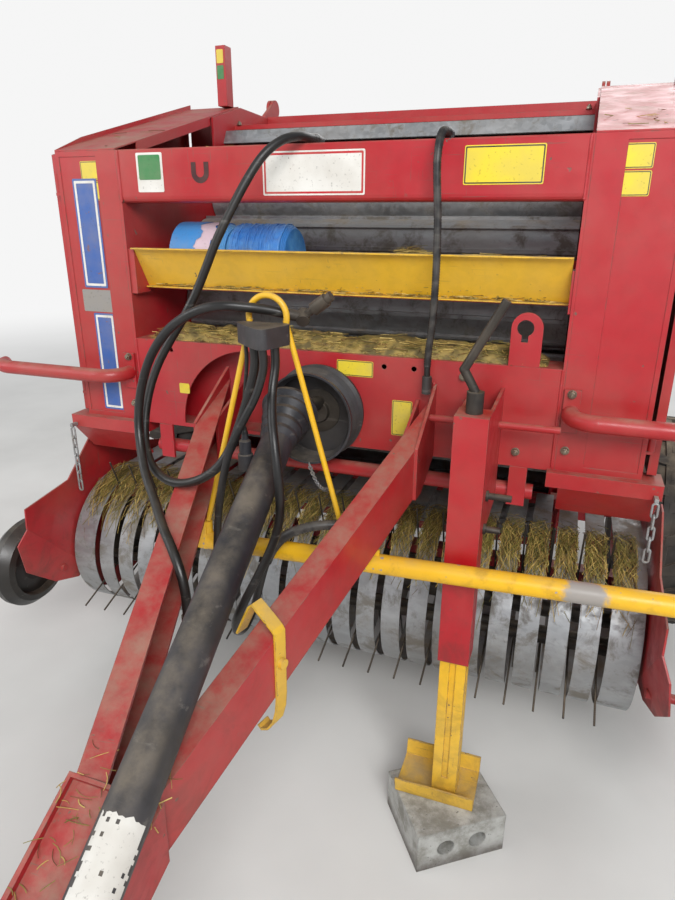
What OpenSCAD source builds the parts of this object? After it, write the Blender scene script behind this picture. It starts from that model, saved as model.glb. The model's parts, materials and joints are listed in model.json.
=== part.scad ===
// Round baler with a fixed bale chamber, parked on its jack.
// Lengths are in millimetres. +X is the machine's left side, -Y is the front, Z = 0 is the ground.

/* [Front frame] */
// Clear width between the two chamber walls
open_w = 1240; // [1160:10:1280]
// Width of each front post, from the opening outwards
post_w = 215; // [190:5:225]
// Height of the upper edge of the top beam
frame_top_z = 1771; // [1750:1:1800]
// Height of the top beam
top_beam_h = 138; // [110:1:160]
// Height of the lower edge of the lower beam
low_beam_z = 981; // [970:1:1000]
// Height of the lower beam
low_beam_h = 266; // [240:1:290]
// Depth of posts and beams, front to back
frame_depth = 100; // [80:5:130]
// Thickness of folded sheet
sheet_t = 5; // [4:0.5:8]
// Rise of the roofs for each millimetre rearwards
roof_slope = 0.27; // [0.25:0.01:0.30]

/* [Bale chamber] */
// Distance of the chamber's centre behind the front face
chamber_y = 1050; // [1040:5:1080]
// Height of the chamber's centre
chamber_z = 1140; // [1130:5:1150]
// Radius of the finished bale
bale_r = 600; // [590:5:610]
// Outer radius of a chamber roller
roller_r = 95; // [85:1:98]
// Thickness of the chamber walls
wall_t = 8; // [6:1:12]
// Gap between the rollers and the corners of the tailgate's skin
ring_clear = 32; // [30:1:36]

/* [Wheels] */
// Outer radius of a tyre
tyre_r = 422; // [400:2:430]
// Width of a tyre
tyre_w = 290; // [250:5:300]
// Track half width, to the middle of a tyre
wheel_x = 1030; // [1025:5:1060]
// Distance of the axle behind the front face
axle_y = 1100; // [1080:5:1130]
// Side of the square axle tube
axle_tube = 90; // [70:5:100]
// Radius of the rim's bead seat
rim_r = 195; // [180:1:205]

/* [Pickup] */
// Distance of the reel's axis behind the front face
reel_y = 150; // [140:5:160]
// Height of the reel's axis
reel_z = 480; // [470:5:500]
// Outer radius of the stripper bands
band_r = 240; // [225:1:250]
// Width of a stripper band
band_w = 55; // [48:1:60]
// Distance from band to band
band_pitch = 76.5; // [72:0.5:78]
// Radius to the tips of the tines
tine_tip_r = 345; // [320:1:350]
// Wire radius of a tine
tine_r = 2.8; // [2:0.1:4]
// Radius of a gauge wheel
gauge_r = 155; // [140:5:170]

/* [Drawbar] */
// Height of the channel beams
beam_h = 120; // [100:5:140]
// Width of the channel beams
beam_b = 57; // [50:1:70]
// Height of the towing eye's bore
hitch_z = 414; // [400:2:440]
// Distance of the towing eye's bore ahead of the front face
hitch_reach = 1620; // [1600:5:1660]
// Radius of the towing eye's bore
hitch_bore_r = 25.5; // [20:0.5:28]

/* [Jack] */
// Place of the jack's axis across the machine
jack_x = 448; // [440:2:460]
// Distance of the jack's axis ahead of the front face
jack_reach = 270; // [260:2:275]
// Side of the jack's outer tube
jack_tube = 76; // [70:1:80]
// Side of the jack's inner leg
jack_leg_w = 65; // [50:1:65]
// Height of the concrete block under the foot
block_h = 120; // [100:5:140]

/* [Hidden] */
$fn = 48;

red = "#b5262f";
yellow = "#e2ae1c";
galvanised = "#9ea3a3";
dark_steel = "#3b3d40";
black = "#1b1c1e";
rubber = "#222222";
concrete = "#a9a69d";
twine_blue = "#2f7fc4";

// Half width of the opening, which is the inner face of the chamber walls
wall_in = open_w / 2;
wall_out = wall_in + wall_t;
post_out = wall_in + post_w;
post_z0 = 985;
low_beam_top = low_beam_z + low_beam_h;
top_beam_z = frame_top_z - top_beam_h;
inner_post_w = 62;
sill_h = 40;
sill_out = post_out + 50;

// Chamber
ring_r = bale_r + roller_r;
shell_r = ring_r + roller_r + ring_clear;
split_y = chamber_y - 5;
split_gap = 10;
wall_bottom_z = chamber_z - shell_r + 32;
housing_y = 752;
wall_top_z = chamber_z + shell_r + 4;
front_angles = [99, 115.5, 132, 148.5, 165, 181.5, 198, 243, 261];
rear_angles = [279, 297, 315, 333, 351, 9, 27, 45, 63, 81];
roller_end_gap = 4;

// Tailgate hinge and its cylinders, as [distance behind the front face, height]
hinge_at = [split_y + 40, wall_top_z + 46];
cyl_base = [split_y - 65, 640];
cyl_eye = [hinge_at[0] + 245, hinge_at[1] - 372];
cyl_x = wall_out + 67;

// Pickup
pivot_at = [600, 620];
band_t = 3;
crease_at = [-262, 671];
crease_turn = 46.8;
flap_bend = 20;
band_count = 23;
band_half = (band_count - 1) / 2;
shield_in = band_half * band_pitch + band_w / 2 + 36;
beam_at = [535, 400];
beam_side = 60;
rail_y = 440;
gauge_x = 1065;
gauge_at = [-125, 458];
gauge_w = 90;

// Drawbar: the outer upper edge of each beam runs from x = root_x at the front face
root_x = 360;
root_z = 1154;
plan_slope = 0.28;
fall_slope = 0.45;
tongue_reach = 1000;
gusset_reach = 200;
fall_angle = atan(fall_slope / sqrt(1 + plan_slope * plan_slope));
plan_angle = atan(plan_slope);
tongue_fall = atan(fall_slope);

// Drive shaft: the joint's centre, and a point further along the shaft
joint_at = [-20, -250, 1105];
shaft_to = [73, -1085, 721];
shaft_dir = shaft_to - joint_at;
shaft_len = 1290;
guard_r = 40;
joint_r = 30;
inner_guard_r = 32;

// Overall reach, so that the origin lies under the middle of the machine
eye_r = 55;
front_reach = hitch_reach + eye_r;
lamp_t = 38;
rear_reach = chamber_y + shell_r + lamp_t;
y_shift = (front_reach - rear_reach) / 2;

function roof_z(y) = frame_top_z + roof_slope * y;
function on_ring(a) = [chamber_y + ring_r * cos(a), chamber_z + ring_r * sin(a)];
function edge_x(y) = root_x + plan_slope * y;
function edge_z(y) = root_z + fall_slope * y;

// Every sub-part is drawn from the frame's front face and moved to the machine's middle
module placed() {
  translate([0, y_shift, 0]) children();
}

module both_sides() {
  children();
  mirror([1, 0, 0]) children();
}

// A side outline, drawn as [rearwards, up], given a thickness from x0 to x1
module across(x0, x1) {
  translate([x0, 0, 0]) rotate([90, 0, 90]) linear_extrude(x1 - x0) children();
}

// A front outline, drawn as [left, up], given a depth from y0 to y1
module deep(y0, y1) {
  translate([0, y1, 0]) rotate([90, 0, 0]) linear_extrude(y1 - y0) children();
}

// A plan outline, drawn as [left, rearwards], given a height from z0 to z1
module tall(z0, z1) {
  translate([0, 0, z0]) linear_extrude(z1 - z0) children();
}

module box(x0, x1, y0, y1, z0, z1) {
  translate([x0, y0, z0]) cube([x1 - x0, y1 - y0, z1 - z0]);
}

// A round bar between two points
module bar(a, b, r) {
  d = b - a;
  translate(a) rotate([0, acos(d[2] / norm(d)), atan2(d[1], d[0])]) cylinder(r = r, h = norm(d));
}

// A folded section, open at the back
module folded_beam(x0, x1, z0, z1, depth) {
  difference() {
    box(x0, x1, 0, depth, z0, z1);
    box(x0 + sheet_t, x1 - sheet_t, sheet_t, depth + 1, z0 + sheet_t, z1 - sheet_t);
  }
}

cutout_at = [-234, 997];
cutout_r = 235;
cutout_edge = -170;
press_at = [26, 905];
press_r = 21;

module front_frame() {
  color(red) placed() {
    top_beam();
    difference() {
      box(-wall_in, wall_in, 0, frame_depth, low_beam_z, low_beam_top);
      box(-wall_in + sheet_t, wall_in - sheet_t, sheet_t, frame_depth - sheet_t,
        low_beam_z + sheet_t, low_beam_top - sheet_t);
      intersection() {
        translate([cutout_at[0], -1, cutout_at[1]]) rotate([-90, 0, 0]) cylinder(r = cutout_r, h = sheet_t + 2);
        box(-600, cutout_edge, -2, sheet_t + 2, low_beam_z + 12, low_beam_top);
      }
      translate([gear_x, -1, gear_z]) rotate([-90, 0, 0]) cylinder(r = 24, h = frame_depth + 2);
      for (x = [-499, 166, 248])
        translate([x, -1, low_beam_top - 28]) rotate([-90, 0, 0]) cylinder(r = 7, h = sheet_t + 2);
    }
    both_sides() post();
    // bar that presses the crop down
    across(-580, 580) translate(press_at) circle(r = press_r);
    both_sides() box(516, 562, -3, 5, 872, low_beam_z);
  }
}

// Closed top beam, with its lower front edge rolled
module top_beam() {
  across(-wall_in, wall_in) difference() {
    polygon([[0, top_beam_z + 16], [1.5, top_beam_z + 9], [5, top_beam_z + 4], [10, top_beam_z + 1],
      [18, top_beam_z], [frame_depth, top_beam_z], [frame_depth, frame_top_z], [3, frame_top_z], [0, frame_top_z - 3]]);
    polygon([[sheet_t, top_beam_z + 20], [sheet_t + 8, top_beam_z + sheet_t], [frame_depth + 1, top_beam_z + sheet_t],
      [frame_depth + 1, frame_top_z - sheet_t], [sheet_t, frame_top_z - sheet_t]]);
  }
}

module post() {
  x1 = wall_out + inner_post_w;
  folded_beam(wall_out, x1, post_z0, frame_top_z, frame_depth);
  difference() {
    box(x1, post_out, 0, 60, post_z0, frame_top_z);
    box(x1 + sheet_t, post_out - sheet_t, sheet_t, 61, post_z0 + sheet_t, frame_top_z - sheet_t);
    box(x1 + 6, post_out - 12, -1, 1.5, post_z0 + 15, frame_top_z - 15);
  }
  box(wall_in - 10, sill_out, -25, 60, post_z0 - sill_h, post_z0);
  // sloping apron under the sill
  across(wall_out + 14, sill_out - 6) polygon([[-24, post_z0 - sill_h], [56, 852], [60, 852], [60, 858],
    [-14, post_z0 - sill_h]]);
  for (z = hinge_zs) {
    box(post_out, door_hinge[0] + 8, door_hinge[1] - 8, door_hinge[1] + 8, z - 8, z - 0.5);
    translate([door_hinge[0], door_hinge[1], z - 4]) cylinder(r = 5, h = 50);
  }
}

// Height of the walls' upper edge behind the notch beside the top beam
notch_y = 545;
roof_end_z = roof_z(housing_y);

module wall_outline() {
  polygon([[0, post_z0], [60, post_z0], [60, post_z0 - sill_h], [290, post_z0 - sill_h], [330, 850], [450, 800],
    [490, 745], [490, 640], [575, 590], [640, 540], [650, wall_bottom_z], [split_y, wall_bottom_z], [split_y, wall_top_z],
    [housing_y, roof_end_z], [notch_y, roof_z(notch_y)], [notch_y, 1740], [60, 1740], [60, frame_top_z],
    [0, frame_top_z]]);
}

module bearing_at(p) {
  translate([wall_out, p[0], p[1]]) rotate([0, 90, 0]) {
    cylinder(r = 48, h = 14);
    cylinder(r = 32, h = 22);
  }
}

module hinge_bracket() {
  translate(hinge_at) circle(r = 34);
  polygon([hinge_at + [-30, 16], hinge_at + [6, -33.5], [split_y - 8, wall_top_z - 90],
    [split_y - 8, wall_top_z - 160], [split_y - 90, wall_top_z - 60], [split_y - 70, wall_top_z + 10]]);
}

module wall() {
  across(wall_in, wall_out) wall_outline();
  // folded edge beside the tailgate
  box(wall_out, wall_out + 22, split_y - 6, split_y, wall_bottom_z, wall_top_z);
  for (a = front_angles) bearing_at(on_ring(a));
  // tailgate hinge bracket, with its pin
  across(wall_out + 1, wall_out + 12) hinge_bracket();
  across(wall_out - 1, wall_out + 1) intersection() {
    hinge_bracket();
    translate([0, 0]) square([split_y - 6, 3000]);
  }
  translate([wall_out + 1, hinge_at[0], hinge_at[1]]) rotate([0, 90, 0]) cylinder(r = 15, h = 33);
  // pin of the lift cylinder
  translate([wall_out, cyl_base[0], cyl_base[1]]) rotate([0, 90, 0]) cylinder(r = 26, h = cyl_x - 28.5 - wall_out);
  translate([wall_out, cyl_base[0], cyl_base[1]]) rotate([0, 90, 0]) cylinder(r = 12, h = cyl_x + 28 - wall_out);
  // pin of the pickup's arm
  translate([wall_out, pivot_at[0], pivot_at[1]]) rotate([0, 90, 0]) cylinder(r = 20, h = 34);
}

module wall_left() {
  color(red) placed() difference() {
    wall();
    translate([wall_in - 1, cross_y, gear_z]) rotate([0, 90, 0]) cylinder(r = cross_r + 3, h = wall_t + 2);
  }
}

module wall_right() {
  color(red) placed() mirror([1, 0, 0]) wall();
}

// Roof, rear bulkhead and floor of the box beside the chamber
module housing() {
  roof_t = 4;
  across(wall_out, post_out) polygon([[0, frame_top_z], [housing_y, roof_end_z],
    [housing_y, roof_end_z + roof_t], [0, frame_top_z + roof_t]]);
  // folded inner edge beside the open notch
  across(wall_out, wall_out + roof_t) polygon([[105, roof_z(105) - 26], [notch_y - 5, roof_z(notch_y - 5) - 26],
    [notch_y - 5, roof_z(notch_y - 5)], [105, roof_z(105)]]);
  // raised outer edge
  across(post_out - roof_t, post_out) polygon([[0, frame_top_z + roof_t], [housing_y, roof_end_z + roof_t],
    [housing_y, roof_end_z + 18], [120, roof_z(120) + 18]]);
  difference() {
    box(wall_out, post_out, housing_y - roof_t, housing_y, post_z0, roof_z(housing_y - roof_t));
    for (a = front_angles)
      translate([wall_out - 1, on_ring(a)[0], on_ring(a)[1]]) rotate([0, 90, 0]) cylinder(r = 48.5, h = 24);
  }
  box(wall_out, post_out, 60, housing_y - roof_t, post_z0 - roof_t, post_z0);
}

module housing_left() {
  color(red) placed() housing();
}

module housing_right() {
  color(red) placed() mirror([1, 0, 0]) housing();
}

cover_y = 640;
cover_z = wall_top_z - 82;

module top_cover() {
  cover_t = 3;
  y1 = split_y - 25;
  z1 = wall_top_z - 30;
  color(red) placed() {
    across(-wall_in, wall_in) polygon([[cover_y, cover_z - cover_t], [y1 - 44, z1 - cover_t],
      [y1, z1 - cover_t], [y1, z1], [y1 - 44, z1], [cover_y, cover_z]]);
    // cross bar ahead of the tailgate
    box(-wall_in, wall_in, y1 - 36, y1, z1, z1 + 36);
    box(-wall_in, wall_in, cover_y + 60, cover_y + 90, cover_z + 10, cover_z + 26);
  }
}

// Chain drive of the front rollers, in the left housing
sprocket_r = 55;
chain_h = 8;
drive_angles = [132, 148.5, 165, 181.5];

module sprocket(p, x, w) {
  across(x, x + w) translate(p) circle(r = sprocket_r);
}

module chain_loop(places, x) {
  across(x - 2, x + 8) difference() {
    hull() for (p = places) translate(p) circle(r = sprocket_r + 0.5 + chain_h);
    hull() for (p = places) translate(p) circle(r = sprocket_r + 0.5);
  }
}

module roller_drive() {
  x0 = wall_out + 22;
  x1 = x0 + 16;
  last = on_ring(drive_angles[len(drive_angles) - 1]);
  color(dark_steel) placed() {
    for (a = drive_angles) {
      sprocket(on_ring(a), x0 + 4, 6);
      across(x0, x0 + 13) translate(on_ring(a)) circle(r = 26);
    }
    across(x0 + 12, x1 + 10) translate(last) circle(r = 26);
    sprocket(last, x1, 6);
    across(x1, x1 + 6) translate([cross_y, gear_z]) difference() {
      circle(r = sprocket_r);
      circle(r = cross_r + 0.3);
    }
    chain_loop([for (a = drive_angles) on_ring(a)], x0 + 4);
    chain_loop([[cross_y, gear_z], last], x1);
  }
}

module cover_strip() {
  color(galvanised) placed() across(-wall_in, wall_in)
    polygon([[cover_y - 30, cover_z - 42], [cover_y - 26, cover_z - 44], [cover_y - 4, cover_z - 2],
      [cover_y, cover_z - 2.5], [cover_y, cover_z + 1], [cover_y - 6, cover_z + 1]]);
}

module ribbed_roller(p) {
  across(-wall_in + roller_end_gap, wall_in - roller_end_gap) translate(p) {
    difference() {
      circle(r = roller_r - 8);
      circle(r = roller_r - 14);
    }
    for (i = [0:7]) rotate(45 * i) translate([roller_r - 12, -6]) square([12, 12]);
  }
  // end discs with their lightening holes
  for (x = [-wall_in + 20, wall_in - 28]) across(x, x + 8) translate(p) difference() {
    circle(r = roller_r - 11);
    for (i = [0:3]) rotate(90 * i) translate([52, 0]) circle(r = 16);
  }
  across(-wall_in, wall_in) translate(p) circle(r = 28);
}

module front_rollers() {
  color(galvanised) placed() for (a = front_angles) ribbed_roller(on_ring(a));
}

module feed_plate() {
  color(red) placed() {
    across(-wall_in, wall_in) polygon([[495, 708], [655, 604], [658, 608], [498, 712]]);
    // cross tie under the chamber
    box(-wall_in, wall_in, 760, 820, 372, 432);
  }
}

module twine_trough() {
  color(yellow) placed() across(-wall_in + 20, wall_in - 6)
    polygon([[-12, 1507], [4, 1507], [64, 1399], [50, 1399], [50, 1395], [68, 1395], [8, 1511], [-12, 1511]]);
}

module twine_tray() {
  color(red) placed() {
    across(-wall_in, wall_in)
      polygon([[72, 1390], [250, 1390], [250, 1490], [246, 1490], [246, 1394], [72, 1394]]);
    box(-wall_in, -wall_in + 20, 4, 72, 1380, 1507);
    box(wall_in - 6, wall_in, 4, 72, 1380, 1480);
  }
}

module twine_ball(x) {
  translate([x, 150, 1394.3 + 90]) rotate([0, 90, 0]) rotate_extrude() polygon([[20, 0], [80, 0], [90, 12], [90, 173],
    [80, 185], [20, 185]]);
}

module twine_balls() {
  color(twine_blue) placed() {
    twine_ball(-525);
    twine_ball(-335);
  }
}

// Stub axles on brackets outside the chamber walls
module axle() {
  half = axle_tube / 2;
  x0 = wall_out + 30;
  color(red) placed() both_sides() {
    box(wall_out, x0, 830, 880, 380, 560);
    box(wall_out, x0, 996, 1030, 380, 540);
    across(x0, x0 + 14) polygon([[830, 560], [1000, 560], [axle_y + 70, tyre_r + 75], [axle_y + 70, tyre_r - 60],
      [830, 360]]);
    box(x0 + 14, wheel_x - tyre_w / 2 - 30, axle_y - half, axle_y + half, tyre_r - half, tyre_r + half);
    translate([wheel_x - tyre_w / 2 - 30, axle_y, tyre_r]) rotate([0, 90, 0]) cylinder(r = 30, h = tyre_w / 2 + 50);
  }
}

module drawbar_beam() {
  long = 1600;
  difference() {
    translate([root_x, 0, root_z]) rotate([0, 0, -plan_angle]) rotate([fall_angle, 0, 0]) translate([0, 300, 0])
      rotate([90, 0, 0]) linear_extrude(long)
        polygon([[-beam_b, 0], [0, 0], [0, -beam_h], [-beam_b, -beam_h], [-beam_b, -beam_h + 7], [-7, -beam_h + 7],
          [-7, -7], [-beam_b, -7]]);
    box(-900, 900, 0, 900, 0, 2000);
    box(-900, 900, -3000, -tongue_reach, 0, 2000);
    box(edge_x(-gusset_reach), 900, -gusset_reach, 900, 0, 2000);
  }
}

tongue_half = 95;
tongue_end_half = 65;
tongue_end = 1510;
tongue_len = (tongue_end - tongue_reach + 60) / cos(tongue_fall);

module drawbar() {
  gx = edge_x(-gusset_reach);
  color(red) placed() {
    both_sides() {
      drawbar_beam();
      across(gx, gx + 8) polygon([[0, root_z - 170], [0, root_z + 30], [-gusset_reach, edge_z(-gusset_reach) + 4],
        [-gusset_reach, edge_z(-gusset_reach) - beam_h - 10], [-gusset_reach + 60, root_z - 225]]);
      across(gx - beam_b + 12, gx - beam_b + 20) polygon([[0, root_z - 165], [0, root_z - 16],
        [-gusset_reach + 40, edge_z(-gusset_reach + 40) - 10],
        [-gusset_reach + 40, edge_z(-gusset_reach + 40) - beam_h - 4], [-gusset_reach + 90, root_z - 195]]);
    }
    difference() {
      translate([0, -tongue_reach, edge_z(-tongue_reach)]) rotate([tongue_fall, 0, 0]) translate([0, 0, -beam_h])
        linear_extrude(beam_h) polygon([[-tongue_half, 0], [tongue_half, 0],
          [tongue_end_half, -tongue_len], [-tongue_end_half, -tongue_len]]);
      translate([0, -tongue_reach, edge_z(-tongue_reach)]) rotate([tongue_fall, 0, 0]) translate([0, 0, -12])
        linear_extrude(20) polygon([[-tongue_half + 8, -8], [tongue_half - 8, -8],
          [tongue_end_half - 10, 20 - tongue_len + 60], [-tongue_end_half + 10, 20 - tongue_len + 60]]);
      box(-900, 900, -tongue_reach, 900, 0, 2000);
      box(-900, 900, -3000, -tongue_end, 0, 2000);
    }
  }
}

module hitch_eye() {
  eye_h = 40;
  color(dark_steel) placed() difference() {
    union() {
      translate([0, -hitch_reach, hitch_z - eye_h / 2]) cylinder(r = eye_r, h = eye_h);
      box(-32, 32, -hitch_reach, -tongue_end - 16, hitch_z - eye_h / 2, hitch_z + eye_h / 2);
      box(-62, 62, -tongue_end - 18, -tongue_end, hitch_z - 70, hitch_z + 55);
    }
    translate([0, -hitch_reach, hitch_z - eye_h]) cylinder(r = hitch_bore_r, h = 2 * eye_h);
  }
}

gear_x = -20;
gear_z = joint_at[2];
cross_y = frame_depth + 75;
cross_r = 18;

module gearbox() {
  color(dark_steel) placed() {
    box(gear_x - 85, gear_x + 85, frame_depth, frame_depth + 150, gear_z - 90, gear_z + 90);
    translate([gear_x, frame_depth, gear_z]) rotate([90, 0, 0]) cylinder(r = 19, h = frame_depth - joint_at[1]);
    translate(joint_at) sphere(r = joint_r);
    // cross shaft to the rollers' chains
    translate([gear_x + 85, cross_y, gear_z]) rotate([0, 90, 0]) cylinder(r = cross_r, h = wall_out + 40 - gear_x - 85);
  }
}

module pto_cone() {
  // Open bell around the drive shaft's joint, with three rings
  color(black) placed() translate([gear_x, 0, gear_z - 25]) rotate([90, 0, 0]) rotate_extrude()
    polygon([[60, 0], [132, 0], [134, 14], [124, 22], [130, 36], [120, 46], [128, 60], [118, 70], [126, 86], [128, 100],
      [122, 100], [120, 88], [112, 70], [122, 58], [114, 46], [124, 36], [118, 22], [128, 10], [60, 4]]);
}

// A flat bar bent along a path: the path's points, each moved sideways by half the bar's thickness
function path_turn(p, i) =
  let (a = p[max(i - 1, 0)], b = p[min(i + 1, len(p) - 1)], d = (b - a) / norm(b - a)) [-d[1], d[0]];
function bent_bar(p, t) = concat([for (i = [0 : len(p) - 1]) p[i] + path_turn(p, i) * t / 2],
  [for (i = [len(p) - 1 : -1 : 0]) p[i] - path_turn(p, i) * t / 2]);

hook_y = -700;
hook_t = 5;
hook_w = 30;

// Bent hook that carries the unhitched drive shaft, bolted to the left beam
module shaft_hook() {
  top = edge_z(hook_y);
  out = hook_t / 2 + 0.3;
  color(yellow) placed() translate([edge_x(hook_y), hook_y, 0]) rotate([0, 0, -plan_angle]) {
    deep(-hook_w / 2, hook_w / 2) polygon(bent_bar([[-98, top - 28], [-62, top + 46], [-54, top + 54], [-45, top + 48],
      [out - 6, top + 16], [out, top + 8], [out, top - 142], [out - 3, top - 174], [out - 12, top - 206],
      [out - 28, top - 230], [out - 46, top - 240], [out - 54, top - 232]], hook_t));
    translate([out + hook_t / 2, 0, top - 62]) rotate([0, 90, 0]) cylinder(r = 11, h = 9);
  }
}

jack_y = -jack_reach;
jack_top = 1195;
jack_low = 560;
jack_wall = 5;
rod_z = 1112;

module jack_tube_part() {
  s = jack_tube / 2;
  w = s - jack_wall;
  color(red) placed() {
    difference() {
      box(jack_x - s, jack_x + s, jack_y - s, jack_y + s, jack_low, jack_top);
      box(jack_x - w, jack_x + w, jack_y - w, jack_y + w, jack_low - 1, jack_top - 8);
    }
    for (x = [jack_x - s, jack_x + s - 8]) box(x, x + 8, jack_y + s, 0, 885, 1190);
    translate([edge_x(-gusset_reach) + 8, -70, rod_z]) rotate([0, 90, 0]) cylinder(r = 9, h = 320);
  }
}

crank_knee = [jack_x - 28, jack_y - 2, 1290];
crank_tip = [jack_x + 50, jack_y - 4, 1439];
crank_r = 10;

module jack_crank() {
  s = jack_tube / 2;
  color(dark_steel) placed() {
    translate([jack_x, jack_y, jack_top]) cylinder(r = 19, h = 48);
    bar([jack_x, jack_y, jack_top + 46], crank_knee, crank_r);
    translate(crank_knee) sphere(r = crank_r + 0.5);
    bar(crank_knee, crank_tip, crank_r);
    // locking pins beside the tube
    for (pin = [[990, 58], [905, 39]]) translate([jack_x + s, jack_y + 30, pin[0]]) rotate([0, 90, 0]) {
      cylinder(r = 8, h = pin[1]);
      cylinder(r = 13, h = 6);
    }
  }
}

foot_t = 6;
leg_up = 400;

module jack_leg() {
  s = jack_leg_w / 2;
  foot_z = block_h + 0.3;
  color(yellow) placed() {
    difference() {
      box(jack_x - s, jack_x + s, jack_y - s, jack_y + s, foot_z + foot_t, jack_low + leg_up - 100);
      for (a = [0:90:270])
        translate([jack_x, jack_y, 0]) rotate(a) box(-8, 8, s - 5, s + 1, foot_z + foot_t + 60, jack_low + leg_up);
    }
    // foot: a plate with both edges turned up
    translate([jack_x - 23, jack_y + 15, foot_z]) across(-105, 105)
      polygon([[-68, 0], [68, 0], [78, 48], [72, 48], [63, foot_t], [-63, foot_t], [-72, 48], [-78, 48]]);
  }
}

module support_block() {
  color(concrete) placed() translate([452, -286, 0]) rotate(35.5) difference() {
    box(-124, 124, -109, 109, 0, block_h);
    for (x = [-45, 45]) translate([x, -110, block_h / 2]) rotate([-90, 0, 0]) cylinder(r = 24, h = 220);
  }
}

rail_z = 1140;
rail_r = 21;
rail_out = 1120;

module side_rail() {
  x0 = wall_out + 22;
  color(red) {
    box(x0 - 20, x0 + 20, -8, 0, rail_z - 50, rail_z + 60);
    translate([x0, -8, rail_z]) rotate([90, 0, 0]) cylinder(r = rail_r, h = 12);
    translate([x0 + 60, -20, rail_z]) rotate([0, 0, 180]) rotate_extrude(angle = 90)
      translate([60, 0]) circle(r = rail_r);
    translate([x0 + 60, -80, rail_z]) rotate([0, 90, 0]) cylinder(r = rail_r, h = rail_out - 60 - x0 - 60);
    translate([rail_out - 60, -20, rail_z]) rotate([0, 0, -90]) rotate_extrude(angle = 80)
      translate([60, 0]) circle(r = rail_r);
  }
}

module side_rails() {
  placed() both_sides() side_rail();
}

module guard_tube() {
  a = [-200, -340, 802];
  b = [980, -338, 848];
  under = 857.7;
  color(yellow) placed() {
    bar(a, b, 24);
    box(-240, -200, -352, -328, 780, under);
    box(214, 262, -344, -336, 820, under);
    // sockets of the hose arch
    for (s = [-1, 1]) translate([s * arch_foot_x + arch_side[0], -340, 806]) cylinder(r = 10, h = 51);
    box(160, 240, -332, -326, 800, 834);
  }
}

arch_r = 46;
arch_top = 1436;
arch_foot_x = 188;
arch_foot_z = 859.3;
arch_side = [-10, -340];

module hose_arch() {
  lean = atan2(arch_foot_x - arch_r, arch_top - arch_r - arch_foot_z);
  color(yellow) placed() translate([arch_side[0], arch_side[1], 0]) {
    translate([0, 0, arch_top - arch_r]) rotate([90, 0, 0]) rotate(-lean) rotate_extrude(angle = 180 + 2 * lean)
      translate([arch_r, 0]) circle(r = 7);
    for (s = [-1, 1]) {
      foot = [s * arch_foot_x, 0, arch_foot_z];
      top = [s * arch_r * cos(lean), 0, arch_top - arch_r - arch_r * sin(lean)];
      bar(foot, top + (top - foot) * 0.012, 6.5);
    }
  }
}

// Cords: the points along each one's middle, from one end to the other
left_d = 22;
left_route = [[30, -318, 1394], [-10, -340, 1404], [-50, -364, 1411], [-98, -382, 1414], [-150, -384, 1404],
  [-210, -374, 1378], [-268, -360, 1338], [-322, -350, 1276], [-360, -344, 1198], [-376, -350, 1118],
  [-356, -376, 1048], [-316, -416, 1000], [-250, -480, 960], [-190, -540, 932], [-142, -580, 914], [-106, -606, 876],
  [-98, -612, 826], [-98, -612, 768]];
crossing_d = 22;
crossing_route = [[-50, 60, 1784], [-50, 22, 1784], [-60, -22, 1784], [-86, -68, 1772], [-118, -106, 1738],
  [-152, -136, 1680], [-190, -162, 1604], [-220, -180, 1540], [-248, -190, 1476], [-276, -200, 1414],
  [-310, -212, 1352], [-346, -226, 1294], [-374, -244, 1238], [-390, -268, 1176], [-390, -298, 1114],
  [-374, -332, 1052], [-336, -368, 1004], [-280, -400, 984], [-220, -420, 989], [-162, -424, 1008],
  [-116, -418, 1042], [-84, -408, 1092], [-62, -396, 1152], [-40, -388, 1222], [-24, -384, 1286], [-24, -384, 1334]];
middle_d = 18;
middle_route = [[16, -424, 1334], [16, -424, 1290], [0, -432, 1232], [-28, -441, 1176], [-60, -448, 1112],
  [-82, -450, 1036], [-100, -446, 960], [-114, -440, 880], [-122, -436, 806], [-122, -436, 744]];
loop_d = 20;
loop_route = [[26, -384, 1334], [26, -384, 1290], [26, -402, 1240], [38, -434, 1190], [56, -464, 1140],
  [68, -478, 1082], [70, -474, 1014], [62, -470, 948], [44, -478, 888], [22, -496, 832], [0, -522, 776],
  [-20, -544, 724], [-34, -520, 664], [-42, -463, 640], [-44, -405, 664], [-36, -382, 722], [-18, -383, 786],
  [12, -392, 848], [54, -396, 892], [114, -380, 914], [186, -360, 920], [236, -360, 920]];
top_d = 16;
top_route = [[292, 60, 1790], [292, 30, 1790], [292, 0, 1785], [292, -27, 1768], [292, -43, 1740],
  [293, -49, 1696], [300, -46, 1590], [302, -43, 1470], [298, -36, 1350], [290, -30, 1266], [290, -30, 1210]];
plug_d = 9;
plug_route = [[-56, -362, 1334], [-56, -362, 1280], [-76, -350, 1164], [-76, -350, 1112]];
cord_sides = 10;

// Direction of a route at one of its points
function heading(p, i) = let (d = p[min(i + 1, len(p) - 1)] - p[max(i - 1, 0)]) d / norm(d);

// One ring of a cord, square to its heading
function cord_ring(c, h, d) =
  let (side = cross(h, abs(h[0]) < 0.8 ? [1, 0, 0] : [0, 1, 0]), u = side / norm(side), v = cross(h, u), turn = 360 / cord_sides)
  [for (k = [0 : cord_sides - 1]) c + (u * cos(turn * k) + v * sin(turn * k)) * d / 2];

module cord(p, d) {
  n = len(p);
  m = cord_sides;
  polyhedron([for (i = [0 : n - 1]) each cord_ring(p[i], heading(p, i), d)],
    concat([[for (k = [0 : m - 1]) k]], [[for (k = [m - 1 : -1 : 0]) (n - 1) * m + k]],
      [for (i = [0 : n - 2]) for (k = [0 : m - 1])
        [i * m + k, (i + 1) * m + k, (i + 1) * m + (k + 1) % m, i * m + (k + 1) % m]]));
}

module hose_left() {
  color(black) placed() cord(left_route, left_d);
}

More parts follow.
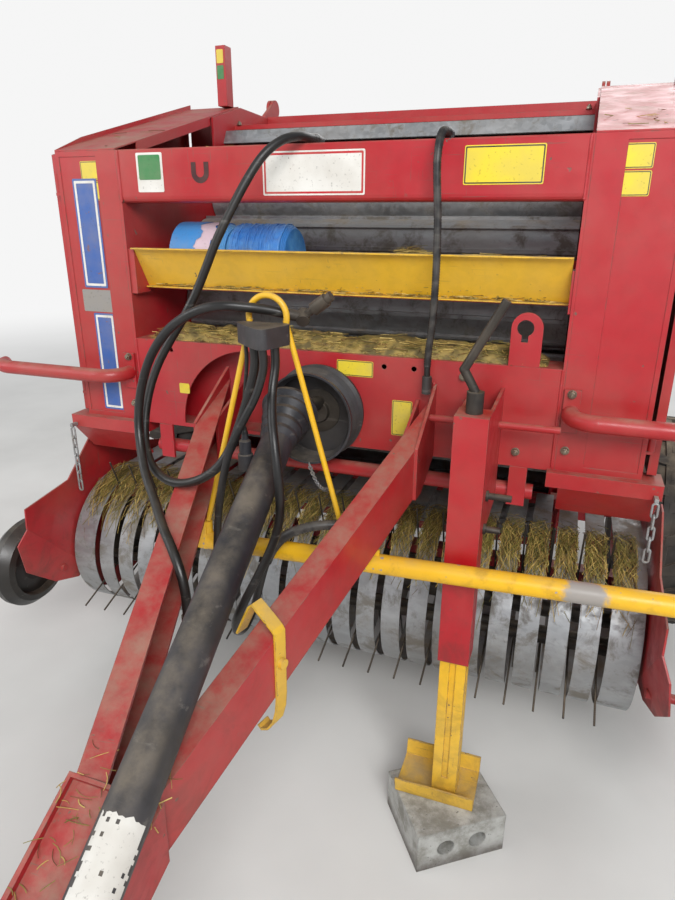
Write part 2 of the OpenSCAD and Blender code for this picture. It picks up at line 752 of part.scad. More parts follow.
module hose_crossing() {
  color(black) placed() cord(crossing_route, crossing_d);
}

module hose_middle() {
  color(black) placed() cord(middle_route, middle_d);
}

module hose_loop() {
  color(black) placed() cord(loop_route, loop_d);
}

module top_cable() {
  color(black) placed() cord(top_route, top_d);
}

module plug_cable() {
  color(black) placed() cord(plug_route, plug_d);
}

// Steel couplings on the hoses' ends
module hose_couplings() {
  a = left_route[0];
  elbow = a - heading(left_route, 0) * 34;
  out = [74, -6, 53] / norm([74, -6, 53]);
  side = cross(elbow - a, out) / norm(cross(elbow - a, out));
  color(dark_steel) placed() {
    bar(a, elbow, left_d / 2 + 1.5);
    bar(elbow - side * 15, elbow + side * 15, left_d / 2 + 4);
    bar(elbow, elbow + out * 34, 9);
    bar(elbow + out * 32, elbow + out * 72, 15);
    bar(elbow + out * 70, elbow + out * 86, 11);
    for (end = [[left_route[len(left_route) - 1], left_d], [middle_route[len(middle_route) - 1], middle_d]])
      translate(end[0]) rotate([180, 0, 0]) rotate_extrude() polygon([[0, 0], [end[1] / 2 + 3, 0], [end[1] / 2 + 3, 30],
        [end[1] / 2 - 1, 32], [end[1] / 2 - 1, 36], [end[1] / 2 + 4, 38], [end[1] / 2 + 4, 60], [0, 60]]);
  }
}

// Glands where the cords enter the frame
module cable_glands() {
  a = crossing_route[0];
  b = top_route[0];
  c = top_route[len(top_route) - 1];
  d = loop_route[len(loop_route) - 1];
  color(black) placed() {
    translate([a[0], a[1] + 35, a[2]]) rotate([90, 0, 0]) cylinder(r = 12.6, h = 35);
    box(a[0] - 12, a[0] + 12, a[1] + 3, a[1] + 33, frame_top_z, a[2]);
    translate([b[0], b[1] + 35, b[2]]) rotate([90, 0, 0]) cylinder(r = 11, h = 35);
    box(b[0] - 10, b[0] + 10, b[1] + 3, b[1] + 33, frame_top_z, b[2]);
    translate([c[0], c[1], c[2] - 46]) cylinder(r = 12, h = 46);
    box(c[0] - 8, c[0] + 8, c[1], 0, c[2] - 40, c[2] - 10);
    translate(d) rotate([0, 90, 0]) cylinder(r = 15, h = 11);
  }
}

module plug() {
  color(black) placed() translate(plug_route[len(plug_route) - 1]) rotate([180, 0, 0]) rotate_extrude()
    polygon([[0, 0], [7, 0], [9, 14], [14, 18], [15, 50], [18.5, 52], [18.5, 90], [15, 92], [0, 92]]);
}

// Rubber tie that holds the hoses' upper ends to the arch
module hose_tie() {
  back = -346.8;
  color(black) placed() tall(1334, 1378) hull() {
    translate([-58, back - 15]) circle(r = 15);
    translate([36, back - 15]) circle(r = 15);
    translate([-20, -392]) circle(r = 20);
    translate([16, -426]) circle(r = 16);
  }
}

// One chain link, standing along Z
module link(wire, bend, half) {
  for (s = [0, 180]) rotate([0, s, 0]) translate([0, 0, half]) rotate([90, 0, 0]) rotate_extrude(angle = 180)
    translate([bend, 0]) circle(r = wire, $fn = 24);
  for (x = [-bend, bend]) translate([x, 0, -half]) cylinder(r = wire, h = 2 * half, $fn = 24);
}

// Distance from link to link, with a little slack
function link_pitch(wire, bend, half) = 2 * (half + bend) - 2 * wire - 0.4;

module hanging_chain(x, count) {
  wire = 3;
  bend = 6.6;
  half = 12;
  pitch = link_pitch(wire, bend, half);
  top = post_z0 - sill_h;
  box(x - 5, x + 5, -50, -25, top + 4, top + 14);
  translate([x, -45, 0]) for (i = [0 : count - 1]) translate([0, 0, top + 3.7 - half - bend - wire - i * pitch])
    rotate(90 * (i % 2)) link(wire, bend, half);
}

// Thin chain from the bell to the hose arch, on an arc of equal steps
module safety_chain() {
  wire = 1.6;
  bend = 4;
  half = 5;
  from = [-14, -100.8, 955];
  to = [137, -333, 998];
  pitch = link_pitch(wire, bend, half);
  flat = norm([to[0] - from[0], to[1] - from[1]]);
  rise = to[2] - from[2];
  arc_r = 330;
  open = 2 * asin(norm([flat, rise]) / 2 / arc_r);
  // turn from the first link's middle to the last one's
  used = open - 2 * asin((half + bend + wire) / arc_r);
  steps = ceil(used / (2 * asin(pitch / 2 / arc_r)));
  translate(from) rotate([0, 0, atan2(to[1] - from[1], to[0] - from[0])]) rotate([0, -atan2(rise, flat), 0])
    translate([norm([flat, rise]) / 2, 0, arc_r * cos(open / 2)])
    for (i = [0 : steps]) rotate([0, used / 2 - i * used / steps, 0])
      translate([0, 0, -arc_r]) rotate([0, 90, 0]) rotate(90 * (i % 2)) link(wire, bend, half);
}

module chains() {
  color(galvanised) placed() {
    hanging_chain(870, 5);
    hanging_chain(-870, 7);
    safety_chain();
  }
}

module lifting_plate() {
  color(red) placed() deep(0, 8) difference() {
    union() {
      translate([488, low_beam_top]) square([76, 95]);
      translate([526, low_beam_top + 95]) circle(r = 38);
    }
    translate([522, low_beam_top + 95]) circle(r = 20);
    translate([514, low_beam_top + 60]) square([16, 35]);
  }
}

module indicator() {
  color(red) placed() difference() {
    box(-wall_out - 50, -wall_out - 12, 690, 736, roof_z(736) + 4, 2165);
    box(-wall_out - 45, -wall_out - 17, 694, 737, roof_z(736) + 30, 2170);
  }
}

door_t = 22;
door_in = post_out + 12;
door_hinge = [post_out + 10, 12];
hinge_zs = [1060, frame_top_z - 110];

module door() {
  y0 = 24;
  y1 = housing_y;
  z0 = post_z0 + 8;
  difference() {
    across(door_in, door_in + door_t) polygon([[y0, z0], [y1, z0], [y1, roof_z(y1) - 12], [y0, roof_z(y0) - 12]]);
    across(door_in - 1, door_in + door_t - 4) polygon([[y0 + 4, z0 + 4], [y1 - 4, z0 + 4], [y1 - 4, roof_z(y1) - 16],
      [y0 + 4, roof_z(y0) - 16]]);
  }
  // handle near the rear edge
  translate([door_in + door_t, y1 - 90, 1330]) {
    for (z = [0, 120]) translate([0, 0, z]) rotate([0, 90, 0]) cylinder(r = 6, h = 30);
    translate([30, 0, -6]) cylinder(r = 7, h = 132);
  }
  for (z = hinge_zs) difference() {
    union() {
      translate([door_hinge[0], door_hinge[1], z]) cylinder(r = 9, h = 50);
      box(door_hinge[0], door_in + 4, door_hinge[1] - 3, y0 + 2, z, z + 50);
    }
    translate([door_hinge[0], door_hinge[1], z - 1]) cylinder(r = 5.3, h = 52);
  }
}

module door_left() {
  color(red) placed() door();
}

module door_right() {
  color(red) placed() mirror([1, 0, 0]) door();
}

// Turns a shape drawn along +Z to the drive shaft's own line
module along_shaft() {
  translate(joint_at) rotate([0, acos(shaft_dir[2] / norm(shaft_dir)), atan2(shaft_dir[1], shaft_dir[0])]) children();
}

module pto_guard() {
  color(black) placed() along_shaft() rotate_extrude()
    polygon([[64, -72], [70, -72], [74, -60], [62, -50], [66, -38], [56, -24], [60, -10], [50, 4], [53, 18], [45, 32],
      [47, 44], [guard_r, 60], [guard_r, shaft_len - 60], [50, shaft_len], [46, shaft_len], [guard_r - 6, shaft_len - 50],
      [20, shaft_len - 50], [20, 64], [40, 34], [47, 18], [45, 4], [54, -10], [50, -24], [60, -38], [57, -50], [68, -60]]);
}

module pto_yoke() {
  color(dark_steel) placed() along_shaft() {
    translate([0, 0, joint_r + 0.5]) cylinder(r = 19.5, h = shaft_len + 10 - joint_r);
    difference() {
      translate([0, 0, shaft_len + 10]) cylinder(r = 38, h = 95);
      translate([-50, -22, shaft_len + 30]) cube([100, 44, 45]);
      translate([0, 0, shaft_len + 70]) cylinder(r = 17.5, h = 60);
    }
  }
}

// Pickup
module band_outline() {
  c = [reel_y, reel_z];
  end = [beam_at[0] - beam_side / 2, beam_at[1] - beam_side / 2 - band_t];
  d = end - c;
  t_angle = atan2(d[1], d[0]) - acos(band_r / norm(d));
  difference() {
    translate(c) circle(r = band_r, $fn = 96);
    translate(c) circle(r = band_r - band_t, $fn = 96);
    translate(c) square([2 * band_r, 2 * band_r]);
    translate(c) rotate(t_angle) translate([-1, 0]) square([2 * band_r, 2 * band_r]);
  }
  translate([c[0], c[1] + band_r - band_t]) square([rail_y + 30 - c[0], band_t]);
  translate(c) rotate(t_angle) translate([band_r - band_t, -0.5])
    square([band_t, sqrt(norm(d) * norm(d) - band_r * band_r) + 0.5]);
  translate(end) square([beam_side - 10, band_t]);
}

module pickup_bands() {
  color(galvanised) placed() for (k = [-band_half : band_half]) {
    wide = abs(k) == band_half ? 28 : 0;
    x = k * band_pitch;
    across(x - band_w / 2 - (k < 0 ? wide : 0), x + band_w / 2 + (k > 0 ? wide : 0)) band_outline();
  }
}

module shield() {
  across(shield_in, shield_in + 5) polygon([crease_at, [-256, 737], [-61, 762], [70, 878], [110, 884], [240, 800],
    [rail_y + 40, 735], [575, 440], [575, 360], [120, 262], [30, 300], [-28, 422]]);
  // lower front corner, bent outwards along the crease
  translate([shield_in, crease_at[0], crease_at[1]]) rotate([-crease_turn, 0, 0]) rotate([0, -flap_bend, 0])
    across(0, 5) polygon([[2, 1], [338, 1], [345, -50], [264, -101], [125, -117], [20, -60]]);
}

module pickup_arm() {
  x0 = wall_out + 16;
  across(x0, x0 + 12) difference() {
    union() {
      translate(pivot_at) circle(r = 38);
      polygon([[rail_y, 694], [rail_y + 30, 717], pivot_at + [-10, 36], pivot_at + [36, -12],
        [beam_at[0] + 30, beam_at[1] + 30], [beam_at[0] - 30, beam_at[1] + 30], [503, 500], [486, 600]]);
    }
    translate(pivot_at) circle(r = 20.3);
  }
}

// Bearing of the tined reel on the side plate
module reel_bearing() {
  translate([shield_in - 18, reel_y, reel_z]) rotate([0, 90, 0]) difference() {
    cylinder(r = 45, h = 18);
    translate([0, 0, -1]) cylinder(r = 25.3, h = 20);
  }
}

module pickup_frame() {
  s = beam_side / 2;
  color(red) placed() {
    box(-shield_in, shield_in, beam_at[0] - s, beam_at[0] + s, beam_at[1] - s, beam_at[1] + s);
    // rail under the rear ends of the bands
    box(-shield_in, shield_in, rail_y, rail_y + 30, reel_z + band_r - band_t - 24, reel_z + band_r - band_t);
    both_sides() {
      shield();
      reel_bearing();
      pickup_arm();
      translate([shield_in + 8, gauge_at[0], gauge_at[1]]) rotate([0, 90, 0])
        cylinder(r = 12, h = gauge_x + gauge_w / 2 - shield_in - 3);
    }
  }
}

bar_ring_r = 110;
gap_count = band_count - 1;

module pickup_reel() {
  half = shield_in - 4;
  color(dark_steel) placed() {
    translate([-half, reel_y, reel_z]) rotate([0, 90, 0]) cylinder(r = 25, h = 2 * half);
    both_sides() across(half - 36, half - 30) translate([reel_y, reel_z]) circle(r = 130);
    for (a = [0:90:270]) translate([0, reel_y, reel_z]) rotate([a + 20, 0, 0]) {
      translate([-half + 30, bar_ring_r, 0]) rotate([0, 90, 0]) cylinder(r = 15, h = 2 * half - 60);
      for (k = [0 : gap_count - 1])
        translate([(k - (gap_count - 1) / 2) * band_pitch, bar_ring_r, 0]) rotate([-90, 0, 0])
          cylinder(r = tine_r, h = tine_tip_r - bar_ring_r, $fn = 16);
    }
  }
}

module gauge_wheel() {
  color(rubber) translate([gauge_x - gauge_w / 2, gauge_at[0], gauge_at[1]]) rotate([0, 90, 0]) rotate_extrude()
    polygon([[12.4, 20], [60, 20], [110, 30], [112, 0], [gauge_r - 22, 6], [gauge_r, 34], [gauge_r, gauge_w - 34],
      [gauge_r - 22, gauge_w - 6], [112, gauge_w], [110, 70], [60, 80], [12.4, 80]]);
}

module gauge_wheel_left() {
  placed() gauge_wheel();
}

module gauge_wheel_right() {
  placed() mirror([1, 0, 0]) gauge_wheel();
}

lug_count = 22;

module tyre() {
  h = tyre_w / 2;
  t = 16;
  translate([wheel_x, axle_y, tyre_r]) rotate([0, 90, 0]) {
    rotate_extrude($fn = 96) polygon([[rim_r, -h + 45], [rim_r + 10, -h + 32], [rim_r + 60, -h + 6], [rim_r + 110, -h],
      [tyre_r - 55, -h + 10], [tyre_r - 22, -h + 34], [tyre_r - 14, -h + 70], [tyre_r - 12, 0],
      [tyre_r - 14, h - 70], [tyre_r - 22, h - 34], [tyre_r - 55, h - 10], [rim_r + 110, h], [rim_r + 60, h - 6],
      [rim_r + 10, h - 32], [rim_r, h - 45], [rim_r, h - 68], [rim_r + 22, h - 54], [rim_r + 62, h - 6 - t],
      [rim_r + 110, h - t], [tyre_r - 60, h - 10 - t], [tyre_r - 44, h - 52], [tyre_r - 40, 0], [tyre_r - 44, -h + 52],
      [tyre_r - 60, -h + 10 + t], [rim_r + 110, -h + t], [rim_r + 62, -h + 6 + t], [rim_r + 22, -h + 54],
      [rim_r, -h + 68]]);
    for (i = [0 : lug_count - 1]) {
      rotate(i * 360 / lug_count) lug();
      rotate((i + 0.5) * 360 / lug_count) mirror([0, 0, 1]) lug();
    }
    difference() {
      cylinder(r = tyre_r - 2, h = 30, center = true, $fn = 96);
      cylinder(r = tyre_r - 24, h = 32, center = true, $fn = 96);
    }
  }
}

// One lug, slanting from the shoulder to the middle of the tread
module lug() {
  h = tyre_w / 2;
  intersection() {
    difference() {
      translate([0, 0, -h + 14]) cylinder(r = tyre_r, h = h + 6, $fn = 96);
      translate([0, 0, -h + 13]) cylinder(r = tyre_r - 34, h = h + 8, $fn = 96);
    }
    translate([tyre_r - 50, 0, 0]) rotate([0, 90, 0]) linear_extrude(60)
      polygon([[h - 16, -24], [h - 16, 20], [10, 50], [4, 50], [4, 18], [50, -10], [h - 60, -24]]);
  }
}

module rim() {
  h = tyre_w / 2;
  translate([wheel_x, axle_y, tyre_r]) rotate([0, 90, 0]) difference() {
    union() {
      rotate_extrude($fn = 96) polygon([[30.5, -55], [60, -55], [66, -20], [rim_r - 20, -20], [rim_r - 20, -h + 46],
        [rim_r - 6, -h + 20], [rim_r + 8, -h + 20], [rim_r + 8, -h + 24], [rim_r - 0.5, -h + 45], [rim_r - 12, -h + 50],
        [rim_r - 12, h - 50], [rim_r - 0.5, h - 45], [rim_r + 8, h - 24], [rim_r + 8, h - 20], [rim_r - 6, h - 20],
        [rim_r - 20, h - 46], [rim_r - 20, -10], [66, -10], [60, 50], [44, 60], [30.5, 60]]);
      for (i = [0:5]) rotate(60 * i) translate([102, 0, -12]) cylinder(r = 11, h = 26);
    }
    for (i = [0:5]) rotate(60 * i + 30) translate([140, 0, -40]) cylinder(r = 18, h = 60);
  }
}

module tyre_left() {
  color(rubber) placed() tyre();
}

module tyre_right() {
  color(rubber) placed() mirror([1, 0, 0]) tyre();
}

module rim_left() {
  color(red) placed() rim();
}

module rim_right() {
  color(red) placed() mirror([1, 0, 0]) rim();
}

// Tailgate outline: straight flats around the roller ring, behind the split
gate_angles = [-90, -62, -34, -6, 22, 50, 74, 90];
rib_h = 24;

module gate_outline(r) {
  intersection() {
    translate([chamber_y, chamber_z]) polygon(concat([[-20, -r], [-20, r]],
      [for (i = [len(gate_angles) - 1 : -1 : 0]) [r * cos(gate_angles[i]), r * sin(gate_angles[i])]]));
    translate([split_y + split_gap, 0]) square([2000, 4000]);
  }
}

// Where the rear flat of the skin lies at a height below the chamber's centre
function skin_y(dz) = chamber_y + shell_r * (cos(34) + (cos(6) - cos(34)) * (dz + sin(34) * shell_r)
  / (shell_r * (sin(34) - sin(6)))) - 0.5;

module tailgate_frame() {
  rim_w = 22;
  color(red) placed() both_sides() {
    across(wall_in, wall_out) gate_outline(shell_r);
    // folded rim of the side wall
    across(wall_out, wall_out + rim_w) difference() {
      gate_outline(shell_r);
      gate_outline(shell_r - 8);
      translate([split_y - 100, 0]) square([220, chamber_z - 500]);
      translate([split_y - 100, wall_top_z - 120]) square([200, 200]);
    }
    for (a = rear_angles) bearing_at(on_ring(a));
    // hinge plate outside the fixed bracket
    across(wall_out + 16, wall_out + 28) difference() {
      union() {
        translate(hinge_at) circle(r = 34);
        polygon([hinge_at + [-26, -22], hinge_at + [26, 22], [split_y + 150, wall_top_z - 80],
          [split_y + 90, wall_top_z - 130]]);
      }
      translate(hinge_at) circle(r = 15.3);
    }
    translate([wall_out, split_y + 112, wall_top_z - 98]) rotate([0, 90, 0]) cylinder(r = 20, h = 16);
    // boss beside the rod's eye
    translate([wall_out, cyl_eye[0], cyl_eye[1]]) rotate([0, 90, 0]) cylinder(r = 26, h = cyl_x - 28 - wall_out);
  }
}

module tailgate_skin() {
  skin_t = 3;
  color(red) placed() {
    across(-wall_in, wall_in) difference() {
      gate_outline(shell_r - 0.5);
      gate_outline(shell_r - skin_t - 0.5);
      square([3000, chamber_z - 520]);
    }
    across(-wall_in, wall_in) polygon([[skin_y(-330), chamber_z - 330], [chamber_y + shell_r - 10, chamber_z - 330],
      [chamber_y + shell_r - 10, chamber_z - 270], [skin_y(-270), chamber_z - 270]]);
    for (i = [3, 4]) gate_rib(i);
  }
}

// Folded stiffener across one flat of the tailgate's skin
module gate_rib(i) {
  mid = (gate_angles[i] + gate_angles[i + 1]) / 2;
  flat_r = (shell_r - 0.5) * cos((gate_angles[i + 1] - gate_angles[i]) / 2);
  across(-wall_in + 12, wall_in - 12) translate([chamber_y, chamber_z]) rotate(mid)
    polygon([[flat_r - 0.5, -40], [flat_r + rib_h, -26], [flat_r + rib_h, 26], [flat_r - 0.5, 40], [flat_r - 0.5, 36],
      [flat_r + rib_h - 4, 22], [flat_r + rib_h - 4, -22], [flat_r - 0.5, -36]]);
}

module tailgate_rollers() {
  color(galvanised) placed() for (a = rear_angles) ribbed_roller(on_ring(a));
}

module rear_lamps() {
  color("#8a1a1a") placed() both_sides()
    box(430, 560, chamber_y + shell_r - 10, chamber_y + shell_r + lamp_t, chamber_z - 345, chamber_z - 255);
}

// Tailgate cylinder, drawn along its line from the base pin to the rod's eye
cyl_span = cyl_eye - cyl_base;
cyl_len = norm(cyl_span);
cyl_lean = atan2(cyl_span[0], cyl_span[1]);

module along_cylinder() {
  translate([cyl_x, cyl_base[0], cyl_base[1]]) rotate([-cyl_lean, 0, 0]) children();
}

barrel_len = cyl_len - 165;

module barrel() {
  color(dark_steel) along_cylinder() difference() {
    union() {
      translate([-20, 0, 0]) rotate([0, 90, 0]) cylinder(r = 30, h = 40);
      translate([0, 0, 20]) cylinder(r = 28, h = barrel_len - 20);
    }
    translate([-21, 0, 0]) rotate([0, 90, 0]) cylinder(r = 12.3, h = 42);
    translate([0, 0, 60]) cylinder(r = 16.3, h = barrel_len);
  }
}

module rod() {
  color(galvanised) along_cylinder() {
    translate([0, 0, 155]) cylinder(r = 16, h = cyl_len - 175);
    translate([-20, 0, cyl_len]) rotate([0, 90, 0]) cylinder(r = 30, h = 40);
  }
}

module barrel_left() {
  placed() barrel();
}

module barrel_right() {
  placed() mirror([1, 0, 0]) barrel();
}

module rod_left() {
  placed() rod();
}

module rod_right() {
  placed() mirror([1, 0, 0]) rod();
}

front_frame();
wall_left();
wall_right();
housing_left();
housing_right();
top_cover();
cover_strip();
front_rollers();
roller_drive();
feed_plate();
twine_trough();
twine_tray();
twine_balls();
axle();
drawbar();
shaft_hook();
hitch_eye();
gearbox();
pto_cone();
jack_tube_part();
jack_crank();
support_block();
side_rails();
guard_tube();
hose_arch();
hose_tie();
chains();
hose_left();
hose_crossing();
hose_middle();
hose_loop();
top_cable();
plug_cable();
hose_couplings();
cable_glands();
plug();
lifting_plate();
indicator();
door_left();
door_right();
jack_leg();
pto_guard();
pto_yoke();
pickup_frame();
pickup_bands();
pickup_reel();
gauge_wheel_left();
gauge_wheel_right();
tyre_left();
rim_left();
tyre_right();
rim_right();
tailgate_frame();
tailgate_skin();
tailgate_rollers();
rear_lamps();
barrel_left();
rod_left();
barrel_right();
rod_right();
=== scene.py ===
import json
import math
import random
from collections import namedtuple

import bpy
from mathutils import Matrix, Vector, noise
from mathutils.bvhtree import BVHTree
from mathutils.geometry import interpolate_bezier


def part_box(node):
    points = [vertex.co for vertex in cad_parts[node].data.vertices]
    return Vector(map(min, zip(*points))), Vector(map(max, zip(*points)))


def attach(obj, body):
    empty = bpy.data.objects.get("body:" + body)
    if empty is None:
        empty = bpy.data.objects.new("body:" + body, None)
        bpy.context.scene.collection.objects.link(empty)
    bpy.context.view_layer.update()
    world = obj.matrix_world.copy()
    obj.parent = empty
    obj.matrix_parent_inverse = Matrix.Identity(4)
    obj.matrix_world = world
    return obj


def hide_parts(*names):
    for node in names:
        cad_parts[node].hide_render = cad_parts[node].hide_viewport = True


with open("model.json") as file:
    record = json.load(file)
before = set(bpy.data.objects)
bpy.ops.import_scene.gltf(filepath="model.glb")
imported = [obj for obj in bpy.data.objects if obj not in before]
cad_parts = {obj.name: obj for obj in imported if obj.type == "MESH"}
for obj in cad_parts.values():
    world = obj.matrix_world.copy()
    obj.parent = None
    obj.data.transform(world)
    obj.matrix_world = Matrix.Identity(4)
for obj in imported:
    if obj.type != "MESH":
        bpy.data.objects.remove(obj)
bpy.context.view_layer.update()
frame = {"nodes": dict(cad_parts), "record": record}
NODES = frame["nodes"]

# The frame's front face, from which places are given as (left, rearwards, up) in metres
FRONT_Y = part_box("lifting_plate")[0][1]


def at(x, y, z):
    return Vector((x, FRONT_Y + y, z))


# Camera at the photograph's viewing angle: turns in degrees, lens and sensor in millimetres
CAMERA_AT = at(0.624, -1.652, 1.600)
CAMERA_TURN = 19.65
CAMERA_TILT = 70.1
CAMERA_ROLL = 0.18
CAMERA_LENS = 25.89
SENSOR = 36.0
NEAR = 0.05


def make_camera():
    data = bpy.data.cameras.new("camera")
    data.lens = CAMERA_LENS
    data.sensor_width = SENSOR
    data.clip_start = NEAR
    camera = bpy.data.objects.new("camera", data)
    bpy.context.scene.collection.objects.link(camera)
    turn = Matrix.Rotation(math.radians(CAMERA_TURN), 4, "Z")
    tilt = Matrix.Rotation(math.radians(CAMERA_TILT), 4, "X")
    roll = Matrix.Rotation(math.radians(CAMERA_ROLL), 4, "Z")
    camera.matrix_world = Matrix.Translation(CAMERA_AT) @ turn @ tilt @ roll
    bpy.context.scene.camera = camera


make_camera()


# Pieces in mesh code
def around(first, second, turn):
    """The direction at an angle from one direction towards another that is square to it."""
    return first * math.cos(turn) + second * math.sin(turn)


def grid_face(width, row, column):
    """A face of a sheet whose points lie in rows of this width."""
    corner = row * width + column
    return (corner, corner + 1, corner + width + 1, corner + width)


class Shape:
    """Faces of one piece, each with the number of its material."""

    def __init__(self):
        self.points, self.faces, self.looks = [], [], []

    def add(self, points, faces, look=0):
        base = len(self.points)
        self.points += [tuple(point) for point in points]
        self.faces += [tuple(base + i for i in face) for face in faces]
        self.looks += [look] * len(faces)

    def rings(self, rings, look=0, caps=True):
        sides, points = len(rings[0]), [point for ring in rings for point in ring]
        faces = []
        for start in range(0, len(points) - sides, sides):
            for i in range(sides):
                j = (i + 1) % sides
                faces.append((start + i, start + j, start + sides + j, start + sides + i))
        if caps:
            faces.append(tuple(reversed(range(sides))))
            faces.append(tuple(range(len(points) - sides, len(points))))
        self.add(points, faces, look)

    def tube(self, line, radii, sides, look=0, caps=True):
        """A tube along a line, with its own radius at each point and no twist."""
        rings, side = [], None
        for i, point in enumerate(line):
            ahead = (line[min(i + 1, len(line) - 1)] - line[max(i - 1, 0)]).normalized()
            side = side if side is not None else ahead.orthogonal()
            side = (side - ahead * side.dot(ahead)).normalized()
            up = ahead.cross(side)
            rings.append([point + around(side, up, math.tau * k / sides) * radii[i]
                          for k in range(sides)])
        self.rings(rings, look, caps)

    def turned(self, place, direction, profile, sides, look=0, spin=0.0):
        """A profile of (radius, height) turned about a direction from a place."""
        axis = direction.normalized()
        side = axis.orthogonal().normalized()
        up = axis.cross(side)
        rings = []
        for radius, height in profile:
            middle = place + axis * height
            rings.append([middle + around(side, up, math.tau * (k + spin) / sides) * radius
                          for k in range(sides)])
        self.rings(rings, look)

    def make(self, name, body, looks, sharp=35):
        mesh = bpy.data.meshes.new(name)
        mesh.from_pydata(self.points, [], self.faces)
        for look in looks:
            mesh.materials.append(MATERIALS[look])
        mesh.polygons.foreach_set("material_index", self.looks)
        mesh.polygons.foreach_set("use_smooth", [True] * len(self.faces))
        mesh.set_sharp_from_angle(angle=math.radians(sharp))
        piece = bpy.data.objects.new(name, mesh)
        bpy.context.scene.collection.objects.link(piece)
        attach(piece, body)
        return piece


# Cords: each route in metres, from the fitting that it leaves to where it ends
Route = namedtuple("Route", "diameter far_end stiffness points")
ROUTES = {
    "hose_left": Route(0.022, "fitting", "medium", [
        (0.03, -0.318, 1.394), (-0.01, -0.34, 1.404), (-0.05, -0.364, 1.411),
        (-0.098, -0.382, 1.414), (-0.15, -0.384, 1.404), (-0.21, -0.374, 1.378),
        (-0.268, -0.36, 1.338), (-0.322, -0.35, 1.276), (-0.36, -0.344, 1.198),
        (-0.374, -0.35, 1.118), (-0.358, -0.374, 1.048), (-0.318, -0.418, 0.998),
        (-0.254, -0.478, 0.96), (-0.194, -0.538, 0.931), (-0.148, -0.578, 0.908),
        (-0.114, -0.602, 0.868), (-0.1, -0.611, 0.822), (-0.098, -0.612, 0.768)]),
    "hose_crossing": Route(0.022, "object", "medium", [
        (-0.05, 0.06, 1.784), (-0.05, 0.022, 1.784), (-0.06, -0.022, 1.784),
        (-0.086, -0.068, 1.772), (-0.118, -0.106, 1.738), (-0.152, -0.136, 1.68),
        (-0.19, -0.162, 1.604), (-0.22, -0.18, 1.54), (-0.248, -0.19, 1.476),
        (-0.276, -0.2, 1.414), (-0.31, -0.212, 1.352), (-0.346, -0.226, 1.294),
        (-0.374, -0.244, 1.238), (-0.39, -0.268, 1.176), (-0.39, -0.298, 1.114),
        (-0.374, -0.332, 1.052), (-0.336, -0.368, 1.006), (-0.28, -0.398, 0.987),
        (-0.22, -0.416, 0.989), (-0.162, -0.422, 1.01), (-0.116, -0.418, 1.044),
        (-0.084, -0.408, 1.092), (-0.062, -0.396, 1.152), (-0.04, -0.388, 1.222),
        (-0.024, -0.384, 1.286), (-0.024, -0.384, 1.334)]),
    "hose_middle": Route(0.018, "fitting", "medium", [
        (0.016, -0.424, 1.334), (0.016, -0.424, 1.29), (0, -0.432, 1.232),
        (-0.028, -0.441, 1.176), (-0.06, -0.448, 1.112), (-0.082, -0.45, 1.036),
        (-0.1, -0.446, 0.96), (-0.114, -0.44, 0.88), (-0.122, -0.436, 0.806),
        (-0.122, -0.436, 0.744)]),
    "hose_loop": Route(0.02, "object", "medium", [
        (0.026, -0.384, 1.334), (0.026, -0.384, 1.29), (0.026, -0.402, 1.24),
        (0.038, -0.434, 1.19), (0.056, -0.464, 1.14), (0.068, -0.478, 1.082),
        (0.07, -0.474, 1.014), (0.062, -0.47, 0.948), (0.044, -0.478, 0.888),
        (0.022, -0.496, 0.832), (0, -0.52, 0.778), (-0.02, -0.535, 0.726),
        (-0.034, -0.512, 0.676), (-0.041, -0.463, 0.65), (-0.042, -0.412, 0.668),
        (-0.036, -0.384, 0.722), (-0.018, -0.382, 0.786), (0.012, -0.39, 0.846),
        (0.054, -0.394, 0.89), (0.114, -0.38, 0.914), (0.186, -0.36, 0.92),
        (0.236, -0.36, 0.92)]),
    "top_cable": Route(0.016, "object", "medium", [
        (0.292, 0.06, 1.79), (0.292, 0.03, 1.79), (0.292, 0, 1.785),
        (0.292, -0.027, 1.768), (0.292, -0.043, 1.74), (0.293, -0.049, 1.696),
        (0.3, -0.046, 1.59), (0.302, -0.043, 1.47), (0.298, -0.036, 1.35),
        (0.29, -0.03, 1.266), (0.29, -0.03, 1.21)]),
    "plug_cable": Route(0.009, "plug", "limp", [
        (-0.056, -0.362, 1.334), (-0.056, -0.362, 1.28), (-0.076, -0.35, 1.164),
        (-0.076, -0.35, 1.112)]),
}


def leans(points):
    """How far each point's handles reach along the route."""
    last = len(points) - 1
    inner = [(points[i + 1] - points[i - 1]) / 6 for i in range(1, last)]
    return [(points[1] - points[0]) / 3] + inner + [(points[last] - points[last - 1]) / 3]


WALK_STEPS = 8
CORD_SIDES = 16


def walk(points):
    """Close points along the smooth line through a route's points."""
    lean, line = leans(points), [points[0]]
    for i in range(len(points) - 1):
        line += interpolate_bezier(points[i], points[i] + lean[i], points[i + 1] - lean[i + 1],
                                   points[i + 1], WALK_STEPS + 1)[1:]
    return line


def spaced(line, step):
    """Points at equal steps along a line, the last at its end."""
    lengths = [(b - a).length for a, b in zip(line, line[1:])]
    count = max(1, round(sum(lengths) / step))
    step, out, i, gone = sum(lengths) / count, [line[0]], 0, 0.0
    for k in range(1, count):
        while gone + lengths[i] < k * step:
            gone += lengths[i]
            i += 1
        out.append(line[i].lerp(line[i + 1], (k * step - gone) / lengths[i]))
    return out + [line[-1]]


def make_cords():
    cords = {}
    for name, route in ROUTES.items():
        line, shape = walk([at(*point) for point in route.points]), Shape()
        shape.tube(line, [route.diameter / 2] * len(line), CORD_SIDES)
        cord = shape.make(name + "_run", "frame", [])
        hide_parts(name)
        cords[name] = (cord, line)
    return cords


CORDS = make_cords()


